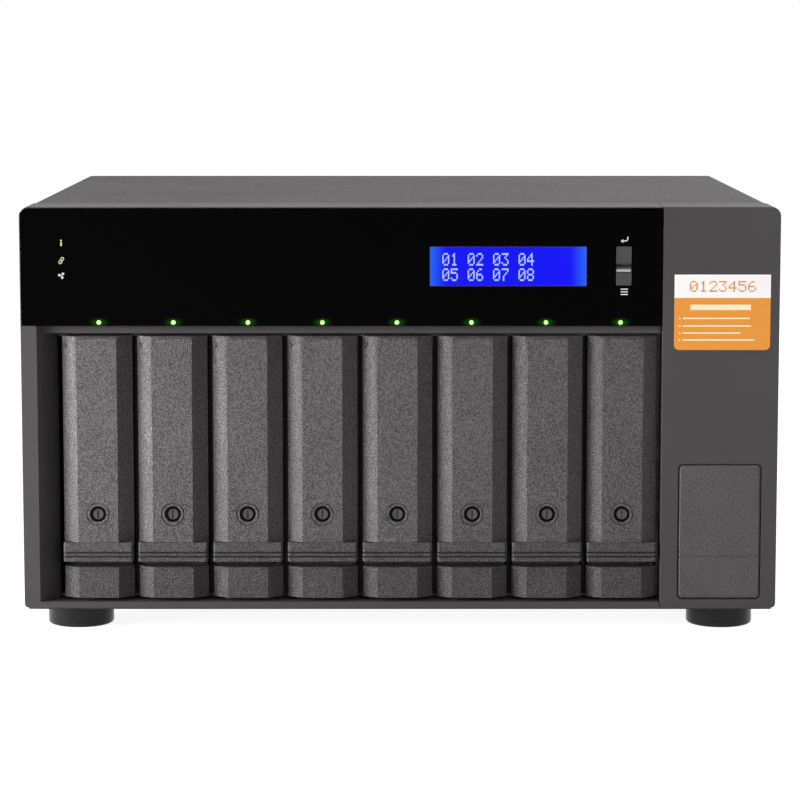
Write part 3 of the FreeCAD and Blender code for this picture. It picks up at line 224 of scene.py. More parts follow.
def soften(piece, width, angle=30, segments=2):
    """Rounds a piece's edges by a width in millimetres."""
    edge = piece.modifiers.new("soft_edges", "BEVEL")
    edge.width = width * MM
    edge.segments = segments
    edge.limit_method = "ANGLE"
    edge.angle_limit = math.radians(angle)
    edge.harden_normals = True
    edge.miter_outer = "MITER_ARC"
    return edge


def recut(node, name, slot, width, look="", segments=2, set_back=0.0, outer=False):
    """A copy of a CAD node with its loose triangles merged by distance, flat faces joined and edges softened.
    Its foremost face may be set back by a tenth of a millimetre for the print that lies on it. With outer set,
    the faces stay as they are, for a sheet full of slots, and only edges along the node's box are softened."""
    source = frame["nodes"][node]
    shell = bmesh.new()
    shell.from_mesh(source.data)
    for layer in list(shell.loops.layers.uv):
        shell.loops.layers.uv.remove(layer)
    bmesh.ops.remove_doubles(shell, verts=shell.verts, dist=2e-6)
    if outer:
        low, high = (np.array(corner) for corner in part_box(node))
        weight = shell.edges.layers.float.new("bevel_weight_edge")
        for edge in shell.edges:
            ends = np.array([vertex.co[:] for vertex in edge.verts])
            on_box = ((np.abs(ends - low) < 1e-5) | (np.abs(ends - high) < 1e-5)).all(axis=0)
            edge[weight] = float(on_box.sum() >= 2)
    else:
        bmesh.ops.dissolve_limit(shell, angle_limit=math.radians(0.6), verts=shell.verts, edges=shell.edges)
    for vertex in shell.verts:
        if vertex.co.y < FRONT * MM + 1e-5:
            vertex.co.y += set_back * MM
    mesh = bpy.data.meshes.new(name)
    shell.to_mesh(mesh)
    shell.free()
    piece = finish_piece(name, mesh, slot, look, source["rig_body"], (node,), smooth=30)
    if width:
        edge = soften(piece, width, segments=segments)
        edge.limit_method = "WEIGHT" if outer else "ANGLE"
    return piece


def dress(node, look):
    """Gives a CAD node that is shown as it is a new finish."""
    mesh = frame["nodes"][node].data
    mesh.materials.clear()
    mesh.materials.append(FINISHES[look])


# ---- finishes ----

def linear(code):
    """An sRGB hex value as linear red, green, blue and alpha. A colour from the sidebar is linear already."""
    if not isinstance(code, str):
        return tuple(code)
    value = [int(code[i:i + 2], 16) / 255 for i in (1, 3, 5)]
    return tuple(v / 12.92 if v <= 0.04045 else ((v + 0.055) / 1.055) ** 2.4 for v in value) + (1.0,)


def add(tree, kind, sockets=(), **settings):
    """Adds one node, sets its options, and fills sockets with a number, a colour or another node's output."""
    node = tree.nodes.new("ShaderNode" + kind)
    for key, value in settings.items():
        setattr(node, key, value)
    for key, value in dict(sockets).items():
        if isinstance(value, bpy.types.NodeSocket):
            tree.links.new(value, node.inputs[key])
        else:
            node.inputs[key].default_value = value
    return node


def maths(tree, operation, *values):
    """A number worked out from others."""
    return add(tree, "Math", dict(enumerate(values)), operation=operation).outputs[0]


def ramp(tree, value, low, high, start=0.0, end=1.0, **settings):
    """A value's place between low and high, mapped to start and end and held there outside them."""
    return add(tree, "MapRange", {"Value": value, "From Min": low, "From Max": high, "To Min": start, "To Max": end},
               **settings).outputs[0]


def mix(tree, share, first, second):
    """Mixes two colours, each a constant or an output."""
    sockets = {0: share, 6: first, 7: second}
    return add(tree, "Mix", sockets, data_type="RGBA").outputs[2]


def along(tree, coords, axis):
    """One of the coordinates."""
    return add(tree, "SeparateXYZ", {0: coords}).outputs[axis]


def new_finish(name):
    """An empty node material, its tree and the coordinates of the piece that wears it."""
    material = bpy.data.materials.new(name)
    material.use_nodes = True
    tree = material.node_tree
    tree.nodes.clear()
    return material, tree, add(tree, "TexCoord").outputs["Object"]


def ended(material, sockets):
    """The material, ended in one Principled shader with those sockets."""
    tree = material.node_tree
    shader = add(tree, "BsdfPrincipled", sockets)
    add(tree, "OutputMaterial", {"Surface": shader.outputs[0]})
    return material


PATTERNS = {
    "grain": ("TexNoise", {"Detail": 2.0, "Roughness": 0.6}, "Fac"),
    "cloud": ("TexNoise", {"Detail": 4.0, "Roughness": 0.55}, "Fac"),
    "cells": ("TexVoronoi", {}, "Distance"),
    "flakes": ("TexVoronoi", {}, "Color"),
    "lines": ("TexWave", {"Distortion": 1.5, "Detail": 2.0}, "Fac"),
    "bricks": ("TexBrick", {"Mortar Size": 0.08}, "Fac"),
}


def pattern(tree, coords, kind, size, low=0.3, high=0.7, stretch=(1, 1, 1), **settings):
    """One pattern with features of a real size in mm, stretched along axes, its contrast set by low and high."""
    place = add(tree, "Mapping", {"Vector": coords, "Scale": tuple(1 / (size * MM * s) for s in stretch)})
    texture, sockets, output = PATTERNS[kind]
    value = add(tree, texture, {"Vector": place.outputs[0], "Scale": 1.0, **sockets}, **settings).outputs[output]
    if kind == "flakes":
        value = add(tree, "SeparateColor", {0: value}).outputs[0]
    return ramp(tree, value, low, high)


def layer(kind, size, tint, gloss, height=0.0, **options):
    """One layer of a finish: a pattern of a size in mm that mixes the tone towards the shade by tint, adds gloss
    to the roughness and raises the surface by a height in mm."""
    return kind, size, tint, gloss, height, options


grain, cloud, cells, flakes, lines, bricks = (partial(layer, kind) for kind in PATTERNS)


def finish(name, tone, shade, roughness, *layers, metallic=0.0, ior=1.5, gleam=0.5, bands=()):
    """A Principled finish of layers. Gleam is the share of specular light, 0.5 being the plain amount. Each band is
    (middle, half height, tint) in mm of height: it darkens that stretch of the piece."""
    material, tree, coords = new_finish(name)
    colour, rough, normal = linear(tone), roughness, {}
    for kind, size, tint, gloss, height, options in layers:
        value = pattern(tree, coords, kind, size, **options)
        if tint:
            colour = mix(tree, maths(tree, "MULTIPLY", value, tint), colour, linear(shade))
        if gloss:
            rough = maths(tree, "MULTIPLY_ADD", value, gloss, rough)
        if height:
            bump = add(tree, "Bump", {"Height": value, "Strength": 1.0, "Distance": height * MM, **normal})
            normal = {"Normal": bump.outputs[0]}
    # Bands paint darker stretches of height towards near black; on the handles they are the painted shade of the lip's
    # grooves
    for middle, half, tint in bands:
        reach = maths(tree, "ABSOLUTE", maths(tree, "SUBTRACT", along(tree, coords, "Z"), middle * MM))
        share = ramp(tree, reach, half * MM, (half + 0.1) * MM, tint, 0.0)
        colour = mix(tree, share, colour, linear("#040404"))
    return ended(material, {"Base Color": colour, "Roughness": rough, "Metallic": metallic, "IOR": ior,
                            "Specular IOR Level": gleam, **normal})


def make_finishes(colours):
    """All finishes, by the name of the record's slot or of the detail that wears them."""
    look = {}
    lip = node_box("tray_1_handle")[0][2]
    # Spark-eroded ABS of the tray handles: a coarse grey grain that sparkles in raking light. The whole lip is painted
    # a third darker, and its two grooves are painted near black as shade. Real grit 0.15 mm, drawn at 0.5 mm so that
    # it shows.
    look["handle_plastic"] = finish(
        "grained_grey_ABS", colours.handle, "#121011", 0.52, grain(0.5, 0.76, 0.16, 0.12, low=0.43, high=0.58),
        cloud(26, 0.12, 0.05), bands=[(lip + 4.2, 4.2, 0.38), (lip + 4.0, 0.4, 1.0), (lip + 2.2, 0.4, 1.0)], ior=1.53,
        gleam=0.3)
    # Finer matt ABS of the bezel and the side column: an even satin skin with soft clouds from moulding.
    # Real grit 0.1 mm, drawn at 0.55 mm.
    look["front_plastic"] = finish(
        "satin_grey_ABS", colours.front, "#262324", 0.46, grain(0.55, 0.12, 0.06, 0.012), cloud(40, 0.14, 0.05),
        ior=1.53, gleam=0.25)
    # ABS of the carriers, of the handles' grain but a tone darker, so that the foot blocks read as one tray with
    # them. Real grit 0.15 mm, drawn at 0.55 mm.
    look["carrier_plastic"] = finish(
        "grained_carrier_ABS", "#454142", "#0e0c0d", 0.55, grain(0.55, 0.8, 0.14, 0.14, low=0.43, high=0.58),
        cloud(18, 0.15, 0.05), ior=1.53, gleam=0.3)
    # Powder-coated steel of the cover: orange-peel grain of a millimetre, dry to the eye.
    look["cover_paint"] = finish(
        "grained_powder_coat_on_steel", colours.cover, "#201e1f", 0.66,
        grain(1.1, 0.5, 0.12, 0.08, low=0.38, high=0.66), cloud(60, 0.12, 0.05), gleam=0.3)
    # Thinner powder coat of the pan and the rear wall: near black, with a soft sheen over fine orange peel.
    look["rear_paint"] = finish(
        "powder_coat_on_rear_steel", "#3b393a", "#1d1c1c", 0.5, grain(0.7, 0.3, 0.1, 0.03), cloud(45, 0.2, 0.06))
    # Black-passivated zinc sheet: dark, with spangled crystals a few millimetres wide and rolling streaks.
    look["zinc_steel"] = finish(
        "black_passivated_zinc_sheet", "#4b4d50", "#303235", 0.4, flakes(4.5, 0.55, 0.14, low=0.0, high=1.0),
        cloud(3, 0.25, 0.08, 0.004, stretch=(8, 1, 1)), metallic=1.0)
    # Nickel-plated screws: bright, with faint turning rings. Real rings 0.1 mm apart, drawn at 0.5 mm.
    look["screw_nickel"] = finish(
        "nickel_plated_steel", "#b9b4ac", "#8d8880", 0.26,
        lines(0.5, 0.3, 0.1, 0.004, low=0.2, high=0.8, wave_type="RINGS"), cloud(4, 0.2, 0.08), metallic=1.0)
    # Die-cast zinc lock, blackened: soft metallic grey with casting grain of half a millimetre.
    look["lock_metal"] = finish(
        "satin_zinc_die_casting", "#464546", "#1c1b1c", 0.42, grain(0.5, 0.3, 0.12, 0.01), cloud(3, 0.35, 0.08),
        metallic=0.3)
    # Near-black ring round the key barrel: painted shade, so that the lock reads as a hole.
    look["lock_shade_ring"] = finish(
        "lock_ring_painted_shade", "#030303", "#0a0a0a", 0.8, grain(0.4, 0.4, 0.1, 0.006), cloud(2, 0.3, 0.08),
        gleam=0.05)
    # Brushed cast aluminium of the disk drives: pale, with long brush strokes drawn 0.8 mm apart, real 0.1 mm.
    look["drive_metal"] = finish(
        "brushed_cast_aluminium", "#a6a7a8", "#77797b", 0.36, cloud(0.8, 0.3, 0.14, 0.006, stretch=(1, 30, 1)),
        cloud(16, 0.25, 0.06), metallic=1.0)
    # Tin-plated shells of the data ports: the brightest metal at the rear, streaked by drawing.
    look["port_steel"] = finish(
        "tin_plated_port_shell", "#b4b6b7", "#8b8e90", 0.24, cloud(1.2, 0.3, 0.1, 0.003, stretch=(1, 9, 1)),
        flakes(2.2, 0.15, 0.05, low=0.0, high=1.0), metallic=1.0)
    # Rubber of the feet: dense black, softly shining, with fine pores and a trace of dust.
    look["foot_rubber"] = finish(
        "dense_black_rubber", "#131212", "#2a2829", 0.24, grain(0.6, 0.15, 0.08, 0.004, low=0.35, high=0.75),
        cloud(9, 0.3, 0.1, low=0.45, high=0.8), ior=1.52, gleam=0.2)
    # Acetal of the guides: black and waxy, scuffed along the way that the trays slide.
    look["guide_plastic"] = finish(
        "natural_black_acetal", "#161617", "#0b0b0c", 0.5, cloud(5, 0.3, 0.1, 0.01, stretch=(1, 6, 1)),
        grain(0.7, 0.1, 0.05, 0.01), ior=1.48, gleam=0.2)
    # Glass-filled nylon of the sockets: black, with grey fibre ends that lie along the flow.
    look["connector_plastic"] = finish(
        "glass_filled_nylon", "#1c1c1e", "#38383a", 0.42,
        cloud(1.2, 0.4, 0.1, 0.01, low=0.45, high=0.75, stretch=(3, 1, 1)), grain(0.4, 0.1, 0.05, 0.006), ior=1.53)
    # Glass-filled PBT of the fan frames: a shade greyer, with flow marks and broad clouds.
    look["fan_plastic"] = finish(
        "black_glass_filled_PBT", "#1e1f20", "#3a3b3d", 0.44,
        cloud(1.6, 0.35, 0.1, 0.01, low=0.45, high=0.75, stretch=(4, 1, 1)), cloud(22, 0.2, 0.05), ior=1.57)
    # PBT of the rotors: lighter and glossier than the frames, with mould rings a millimetre apart.
    look["rotor_plastic"] = finish(
        "black_PBT_rotor", "#26272a", "#3f4145", 0.36,
        lines(1.1, 0.2, 0.08, 0.004, low=0.2, high=0.8, wave_type="RINGS", rings_direction="Y"),
        cloud(12, 0.25, 0.08), ior=1.57)
    # Satin ABS of the push buttons: smoother than the front, worn a little glossy. Real grit 0.1 mm, drawn at
    # 0.5 mm.
    look["button_plastic"] = finish(
        "satin_button_ABS", colours.button, "#1f1e20", 0.38, grain(0.5, 0.12, 0.08, 0.01), cloud(6, 0.2, 0.06),
        ior=1.53, gleam=0.3)
    # Near-black lining of the gaps between the bays: painted shade, light-swallowing, with a fibre-like texture.
    look["gap_shade"] = finish(
        "gap_lining_painted_shade", "#0b0b0b", "#1c1b1b", 0.95, cloud(0.9, 0.4, 0.0, 0.02, low=0.35, stretch=(1, 1, 5)),
        grain(0.5, 0.2, 0.04, 0.01), gleam=0.1)
    # Pale satin ridge of the lower key: its pale colour is a painted highlight along the key's upper edge.
    look["key_painted_highlight"] = finish(
        "satin_ABS_ridge_painted_highlight", "#a2a2a4", "#77777a", 0.35, cloud(2.5, 0.3, 0.08), grain(0.5, 0.1, 0.06, 0.006),
        ior=1.53)
    # Circuit laminate under green solder resist: copper tracks show as lighter lines and pads.
    look["circuit_board"] = finish(
        "green_solder_resist_on_laminate", "#123c26", "#2f7a4a", 0.32,
        bricks(3.2, 0.5, 0.1, 0.01, low=0.2, high=0.8, stretch=(1, 1, 0.6)),
        cells(2.4, 0.35, 0.1, 0.02, low=0.05, high=0.2), cloud(18, 0.2, 0.05))
    # PVC jackets of the wires: black ribs 1.3 mm apart, so that a lead reads as a row of cores.
    look["wiring"] = finish(
        "black_PVC_wire_jacket", "#202022", "#3c3c40", 0.46,
        lines(1.3, 0.25, 0.08, 0.03, low=0.2, high=0.8, bands_direction="X"), cloud(8, 0.2, 0.06), ior=1.53)
    # Coarse ABS of the blind plate: a pebbled skin, which sets it off from the smooth column. Real pebbles
    # 0.3 mm, drawn at 0.8 mm.
    look["plate_plastic"] = finish(
        "coarse_grained_ABS_plate", colours.plate, "#1c1a1b", 0.48, grain(0.8, 0.5, 0.14, 0.1, low=0.4, high=0.62),
        cloud(14, 0.15, 0.06), ior=1.53, gleam=0.3)
    # Gold flash on the ports' contacts and the inlet's pins: warm, with slightly worn patches.
    look["gold"] = finish(
        "gold_flashed_contact", "#d9b061", "#a8803a", 0.25, cloud(0.8, 0.3, 0.1, 0.002), grain(0.5, 0.1, 0.05),
        metallic=1.0)
    # Printed film of the bare label: satin varnish over flat ink, with faint fibres of the paper.
    for key, tone, shade in (("label_band", "#f6f1f0", "#e9e2df"), ("label_field", colours.label, "#cf7c18"),
                             ("label_ink", "#d48a1c", "#b3711a"), ("label_print", "#fbe3bd", "#efcf9a")):
        look[key] = finish(
            "varnished_film_" + key, tone, shade, 0.42,
            cloud(0.9, 0.12, 0.08, 0.002, low=0.35, stretch=(5, 1, 1)), cloud(25, 0.15, 0.04))
    # Pad print of the marks under the locks: dull, a shade darker than the handle, uneven at its edges.
    look["mark_ink"] = finish(
        "dark_pad_print", "#2b292b", "#3c393b", 0.6, grain(0.6, 0.4, 0.1, 0.004, low=0.35),
        cloud(3, 0.3, 0.05, low=0.35))
    # Translucent prints lit from behind: pale by the keys and the fan, yellow for the other two states.
    look["symbol_ink"] = lit_finish("backlit_pale_symbol", "#f0efec", "#d2d0ca", 0.9, 1.2)
    look["status_ink"] = lit_finish("backlit_yellow_symbol", "#ecedb4", "#d8d890", 0.95, 1.2)
    # Lit dots of the display: cold blue-white, a little uneven from dot to dot.
    look["digit"] = lit_finish("lit_display_dot", "#c3d6fb", "#9db4f6", 0.95, 0.55)
    look["light_pipe"] = lamp_finish()
    look["fascia_gloss"] = fascia_finish(colours.fascia)
    look["display_glass"] = display_finish(colours.display)
    return look


def lit_finish(name, tone, shade, strength, size):
    """A lit print: the tone glows, a little uneven over features of the given size in mm."""
    material, tree, coords = new_finish(name)
    value = pattern(tree, coords, "cloud", size)
    return ended(material, {
        "Base Color": (0.02, 0.02, 0.02, 1), "Roughness": maths(tree, "MULTIPLY_ADD", value, 0.2, 0.3),
        "Emission Color": mix(tree, value, linear(tone), linear(shade)), "Emission Strength": strength})


def distance_to_lamp(tree, coords, flatten=1.0):
    """Distance in metres, in the front's plane, to the nearest of the eight lamps: x less the lamp's own place,
    which is its rounded number times the pitch."""
    first, pitch, height = LAMP_FIRST * MM, LAMP_PITCH * MM, LAMP_HEIGHT * MM
    x, z = along(tree, coords, "X"), along(tree, coords, "Z")
    number = maths(tree, "ROUND", ramp(tree, x, first, first + 7 * pitch, 0.0, 7.0))
    dx = maths(tree, "SUBTRACT", x, maths(tree, "MULTIPLY_ADD", number, pitch, first))
    flat = add(tree, "CombineXYZ", {0: maths(tree, "MULTIPLY", dx, flatten), 1: maths(tree, "SUBTRACT", z, height)})
    return add(tree, "VectorMath", {0: flat.outputs[0]}, operation="LENGTH").outputs["Value"]


def lamp_finish():
    """Clear polycarbonate rod lit green from behind: an almost white core that falls to green at its rim. Only its
    front end shines, and only on the rods below the panel."""
    material, tree, coords = new_finish("lit_green_polycarbonate")
    share = ramp(tree, distance_to_lamp(tree, coords), 0.0005, 0.0012)
    front = ramp(tree, along(tree, coords, "Y"), -0.1385, -0.1365, 1.0, 0.0)
    low = maths(tree, "LESS_THAN", along(tree, coords, "Z"), 0.1395)
    fog = pattern(tree, coords, "cloud", 0.8)
    return ended(material, {
        "Base Color": linear("#8fae86"), "Roughness": maths(tree, "MULTIPLY_ADD", fog, 0.2, 0.12), "IOR": 1.58,
        "Emission Color": mix(tree, share, linear("#c0f86e"), linear("#2f9a1d")),
        "Emission Strength": maths(tree, "MULTIPLY", front, low)})


def fascia_finish(tone):
    """Piano-black acrylic: deep and still, with hairline scratches and dust, and a painted green glow round each
    lamp in its face."""
    material, tree, coords = new_finish("piano_black_acrylic")
    # Painted glow: the panel's own face emits green round each lamp, fading out within 3 mm
    painted_halo = ramp(tree, distance_to_lamp(tree, coords, 0.5), 0.0008, 0.0030, 1.0, 0.0, interpolation_type="SMOOTHSTEP")
    face = ramp(tree, along(tree, coords, "Y"), -0.1399, -0.1395, 0.10, 0.0)
    hair = pattern(tree, coords, "cloud", 1.6, stretch=(14, 1, 1), low=0.45, high=0.75)
    dust = pattern(tree, coords, "cells", 5.0, low=0.02, high=0.1)
    speckle = maths(tree, "MULTIPLY_ADD", dust, -0.4, 0.4)
    return ended(material, {
        "Base Color": mix(tree, speckle, linear(tone), linear("#0b0b0c")), "IOR": 1.49, "Specular IOR Level": 0.02,
        "Roughness": maths(tree, "MULTIPLY_ADD", hair, 0.025, 0.06), "Emission Color": linear("#2fb51d"),
        "Emission Strength": maths(tree, "MULTIPLY", maths(tree, "POWER", painted_halo, 2.6), face)})


def display_finish(tone):
    """Blue backlit character display: brighter towards its two ends, with the faint grid of its unlit dots."""
    material, tree, coords = new_finish("blue_backlit_display_glass")
    middle = (DISPLAY[0] + DISPLAY[1]) / 2 * MM
    side = maths(tree, "ABSOLUTE", maths(tree, "SUBTRACT", along(tree, coords, "X"), middle))
    glow = ramp(tree, side, 0.0265, 0.0345, interpolation_type="SMOOTHSTEP")
    cells = pattern(tree, coords, "bricks", 1.0, stretch=(0.62, 1, 0.62), low=0.2, high=0.9)
    colour = mix(tree, glow, linear(tone), linear("#1d63f6"))
    return ended(material, {
        "Base Color": (0.002, 0.002, 0.01, 1), "IOR": 1.5, "Specular IOR Level": 0.08,
        "Roughness": maths(tree, "MULTIPLY_ADD", cells, 0.05, 0.1), "Emission Strength": 1.0,
        "Emission Color": mix(tree, maths(tree, "MULTIPLY", cells, 0.07), colour, linear("#060aa8"))})


def paper_finish():
    """White seamless paper: to the camera and in reflections it glows up to white, all the way beyond 1.1 m, and
    keeps the object's shadow."""
    material, tree, coords = new_finish("white_seamless_paper")
    rays = add(tree, "LightPath").outputs
    fibre = pattern(tree, coords, "cloud", 40)
    away = add(tree, "VectorMath", {0: coords}, operation="LENGTH").outputs["Value"]
    seen = maths(tree, "MAXIMUM", rays["Is Camera Ray"], rays["Is Glossy Ray"])
    return ended(material, {
        "Base Color": mix(tree, fibre, linear("#b2b2b2"), linear("#b8b8b8")), "Roughness": 0.9,
        "Specular IOR Level": 0.0, "Emission Color": (1, 1, 1, 1),
        "Emission Strength": maths(tree, "MULTIPLY", seen, ramp(tree, away, 0.35, 1.1, 0.9, 1.0))})


# ---- sizes and colours that a user would change ----

def length(name, about, default, low, high):
    return FloatProperty(name=name, description=about + ", in mm", default=default, min=low, max=high)


def colour(name, about, code):
    return FloatVectorProperty(name=name, description="Colour of the " + about, subtype="COLOR", size=4, min=0, max=1,
                               default=linear(code))


class ShelfSizes(bpy.types.PropertyGroup):
    """Lengths of the visual details, in millimetres."""
    wall: length("Handle wall", "Wall thickness of a tray handle", 1.5, 0.8, 1.8)
    edge: length("Moulded edge", "Rounding of moulded edges", 0.25, 0.05, 0.5)
    sheet_edge: length("Sheet edge", "Rounding of the folded steel cover", 0.45, 0.1, 0.8)
    ring_radius: length("Lock ring", "Radius of the ring groove round each lock", 4.9, 4.2, 5.6)
    ring_depth: length("Ring depth", "Depth of the ring groove", 0.35, 0.1, 0.6)
    dot: length("Display dot", "Width of one dot of the display", 0.56, 0.3, 0.62)
    knurls: IntProperty(name="Knurls", description="Ridges round each thumbscrew", default=24, min=12, max=40)


class ShelfColours(bpy.types.PropertyGroup):
    """Base colours of the finishes."""
    handle: colour("Handles", "tray handles", "#585455")
    front: colour("Front", "bezel and the side column", "#3b3839")
    plate: colour("Plate", "access plate", "#504c4d")
    cover: colour("Cover", "steel cover", "#595557")
    fascia: colour("Panel", "glossy panel", "#020202")
    display: colour("Display", "display's backlight", "#0606fa")
    button: colour("Buttons", "push buttons", "#353436")
    label: colour("Label", "bare label", "#de8d20")


# ---- operators ----

def prepared(context):
    """The sizes of the sidebar, with the finishes made from its colours on the first call."""
    if not FINISHES:
        FINISHES.update(make_finishes(context.scene.shelf_colours))
    return context.scene.shelf_sizes


class SHELF_OT_handles(bpy.types.Operator):
    """Eight hollow tray handles, each with its bevels, grooved lip, lock hole with ring, cross pin and marks"""
    bl_idname = "shelf.handles"
    bl_label = "Tray handles"

    def execute(self, context):
        sizes = prepared(context)
        for n in TRAYS:
            low, high = node_box(f"tray_{n}_handle")
            centre, face = (low[0] + high[0]) / 2, low[1] + LIP_PROUD
            body, slot = f"handle_{n}", "handle_plastic"
            handle = make_piece(f"tray_{n}_lever", handle_surface(low, high, sizes), slot, body=body,
                                replaces=(f"tray_{n}_handle",))
            wall = handle.modifiers.new("wall", "SOLIDIFY")
            wall.thickness = sizes.wall * MM
            wall.offset = -1
            soften(handle, sizes.edge)
            half, rim = (high[0] - low[0]) / 2 - 1.0, 0.2
            profile = [(0, -half), (PIN_RADIUS - rim, -half), (PIN_RADIUS, -half + rim),
                       (PIN_RADIUS, half - rim), (PIN_RADIUS - rim, half), (0, half)]
            pin = revolve(profile, (centre, face + PIN_INSET, high[2] - PIN_INSET), "X", 32)
            make_piece(f"tray_{n}_hinge_pin", pin, slot, body=body)
            make_piece(f"tray_{n}_lock_marks", mark_surfaces(centre, face, LOCK_HEIGHT - 8.3), slot, "mark_ink", body)
        return {"FINISHED"}


def handle_surface(low, high, sizes):
    """The handle's outer skin: a trapezoid section in x and depth carried up z. Each row of the grid is one section
    at one height; the lip and its grooves are rows of the lip's section, and the first and last row close the ends.
    A square of the face is left out for a ring patch: circles about the lock that blend into the square's edge."""
    centre, half = (low[0] + high[0]) / 2, (high[0] - low[0]) / 2
    bottom, top, rear = low[2], high[2], high[1]
    lip_face, face = low[1], low[1] + LIP_PROUD
    shoulder, chamfer_rear = half - CHAMFER_WIDTH, face + CHAMFER_DEPTH
    lip_top, steps = bottom + LIP_HEIGHT, 12
    turn = shoulder + TOP_BEVEL / CHAMFER_DEPTH * CHAMFER_WIDTH
    lip_turn = half - LIP_PROUD
    flat = np.linspace(-shoulder, shoulder, steps + 1)
    lip_flat = np.linspace(-lip_turn + 0.3, lip_turn - 0.3, steps + 1)
    x_tray = np.concatenate([[-half, -half, -turn], flat, [turn, half, half]])
    y_tray = np.concatenate([[rear, chamfer_rear, face + TOP_BEVEL], np.full(steps + 1, face),
                             [face + TOP_BEVEL, chamfer_rear, rear]])
    x_lip = np.concatenate([[-half, -half, -lip_turn], lip_flat, [lip_turn, half, half]])
    y_lip = np.concatenate([[rear, face, lip_face], np.full(steps + 1, lip_face), [lip_face, face, rear]])
    y_groove = np.maximum(y_lip, lip_face + GROOVE_DEPTH)
    y_lip_rear, y_tray_rear = np.full_like(x_lip, rear), np.full_like(x_tray, rear)
    rows = [(x_lip, y_lip_rear, bottom), (x_lip, y_lip, bottom)]
    for drop in GROOVE_DROPS:
        below, above = lip_top - drop - GROOVE_HALF, lip_top - drop + GROOVE_HALF
        rows += [(x_lip, y_lip, below), (x_lip, y_groove, below), (x_lip, y_groove, above), (x_lip, y_lip, above)]
    rows += [(x_lip, y_lip, lip_top), (x_tray, y_tray, lip_top)]
    first_row = len(rows)
    rows += [(x_tray, y_tray, z) for z in LOCK_HEIGHT + flat]
    rows += [(x_tray, y_tray, top - TOP_BEVEL), (x_tray, np.maximum(y_tray, face + TOP_BEVEL), top),
             (x_tray, y_tray_rear, top)]
    points = np.array([np.stack([centre + x, y, np.full_like(x, z)], -1) for x, y, z in rows])
    columns = points.shape[1]
    quads = grid_faces(len(rows), columns)
    row, column = quads[:, 0] // columns, quads[:, 0] % columns
    hole = (row >= first_row) & (row < first_row + steps) & (column >= 3) & (column < 3 + steps)
    patch = ring_patch(centre, face, LOCK_HEIGHT, shoulder, steps, sizes)
    return joined([(points.reshape(-1, 3), quads[~hole].tolist()), patch])


def ring_patch(x, y, z, half, steps, sizes):
    """A square of half width half about (x, z) with a round hole: rings of growing radius, dished by the ring groove,
    whose outermost ring is the square's own edge points, so that it meets the grid round it."""
    side, end = np.linspace(-half, half, steps + 1)[:-1], np.full(steps, half)
    square = np.concatenate([np.stack(edge, -1) for edge in ((side, -end), (end, side), (-side, end), (-end, -side))])
    unit = square / np.linalg.norm(square, axis=1, keepdims=True)
    radius, depth = sizes.ring_radius, sizes.ring_depth
    rings = [(3.5, 0.25), (3.7, 0), (radius - 0.28, 0), (radius - 0.16, depth), (radius + 0.16, depth),
             (radius + 0.28, 0), (6.4, 0)]
    across = np.array([unit * r for r, _ in rings] + [square])
    back = np.array([d for _, d in rings] + [0])
    points = np.stack([x + across[..., 0], y + np.repeat(back[:, None], len(square), 1), z + across[..., 1]], -1)
    return points.reshape(-1, 3), grid_faces(len(rings) + 1, len(square), wrap=True).tolist()


def mark_surfaces(x, face, z):
    """Small raised marks under a lock: a closed padlock, a bar and an open padlock, each a prism or a bent band."""
    front, back = face - 0.06, face + 0.1
    parts = []
    for middle, swing in ((x - 3.5, 0), (x + 4.2, 0.6)):
        parts.append(slab(middle - 0.95, middle + 0.95, z - 1.0, z + 0.3, front, back))
        parts.append(ribbon(arc(middle - swing, z + 0.35, 0.62, 180, 0), 0.34, front, back))
    parts.append(slab(x - 0.17, x + 0.17, z - 1.0, z + 1.0, front, back))
    return joined(parts)


class SHELF_OT_trays(bpy.types.Operator):
    """Eight sliding carriers with their softened foot blocks, and the finish of their drives"""
    bl_idname = "shelf.trays"
    bl_label = "Trays and drives"

    def execute(self, context):
        sizes = prepared(context)
        for n in TRAYS:
            recut(f"tray_{n}_carrier", f"tray_{n}_sled", "carrier_plastic", sizes.edge)
            dress(f"tray_{n}_drive", "drive_metal")
        return {"FINISHED"}


class SHELF_OT_locks(bpy.types.Operator):
    """Eight key locks: the barrel with its key slot, and a near-black ring of painted shade round the barrel's face"""
    bl_idname = "shelf.locks"
    bl_label = "Key locks"

    def execute(self, context):
        prepared(context)
        for n in TRAYS:
            recut(f"tray_{n}_lock", f"tray_{n}_barrel", "lock_metal", 0.12)
            low, high = node_box(f"tray_{n}_handle")
            centre, face = (low[0] + high[0]) / 2, low[1] + LIP_PROUD + 0.4
            # A near-black ring round the barrel: painted shade of the lock's hole
            shade_ring = revolve([(2.3, 0.05), (2.3, -0.1), (2.45, -0.2), (3.3, -0.2), (3.45, -0.1), (3.45, 0.05)],
                              (centre, face, LOCK_HEIGHT), "Y", 48)
            make_piece(f"tray_{n}_lock_shade_ring", shade_ring, "lock_metal", "lock_shade_ring", f"lock_{n}")
        return {"FINISHED"}


class SHELF_OT_front(bpy.types.Operator):
    """Front mouldings: bezel with bay frame, side column, access plate and the glossy panel"""
    bl_idname = "shelf.front"
    bl_label = "Front mouldings"

    def execute(self, context):
        sizes = prepared(context)
        recut("bay_bezel", "bezel_moulding", "front_plastic", sizes.edge)
        recut("side_column", "column_moulding", "front_plastic", sizes.edge, set_back=0.1)
        recut("access_plate", "service_plate", "front_plastic", sizes.edge, "plate_plastic")
        recut("display_fascia", "gloss_panel", "fascia_gloss", 0, set_back=0.1)
        return {"FINISHED"}


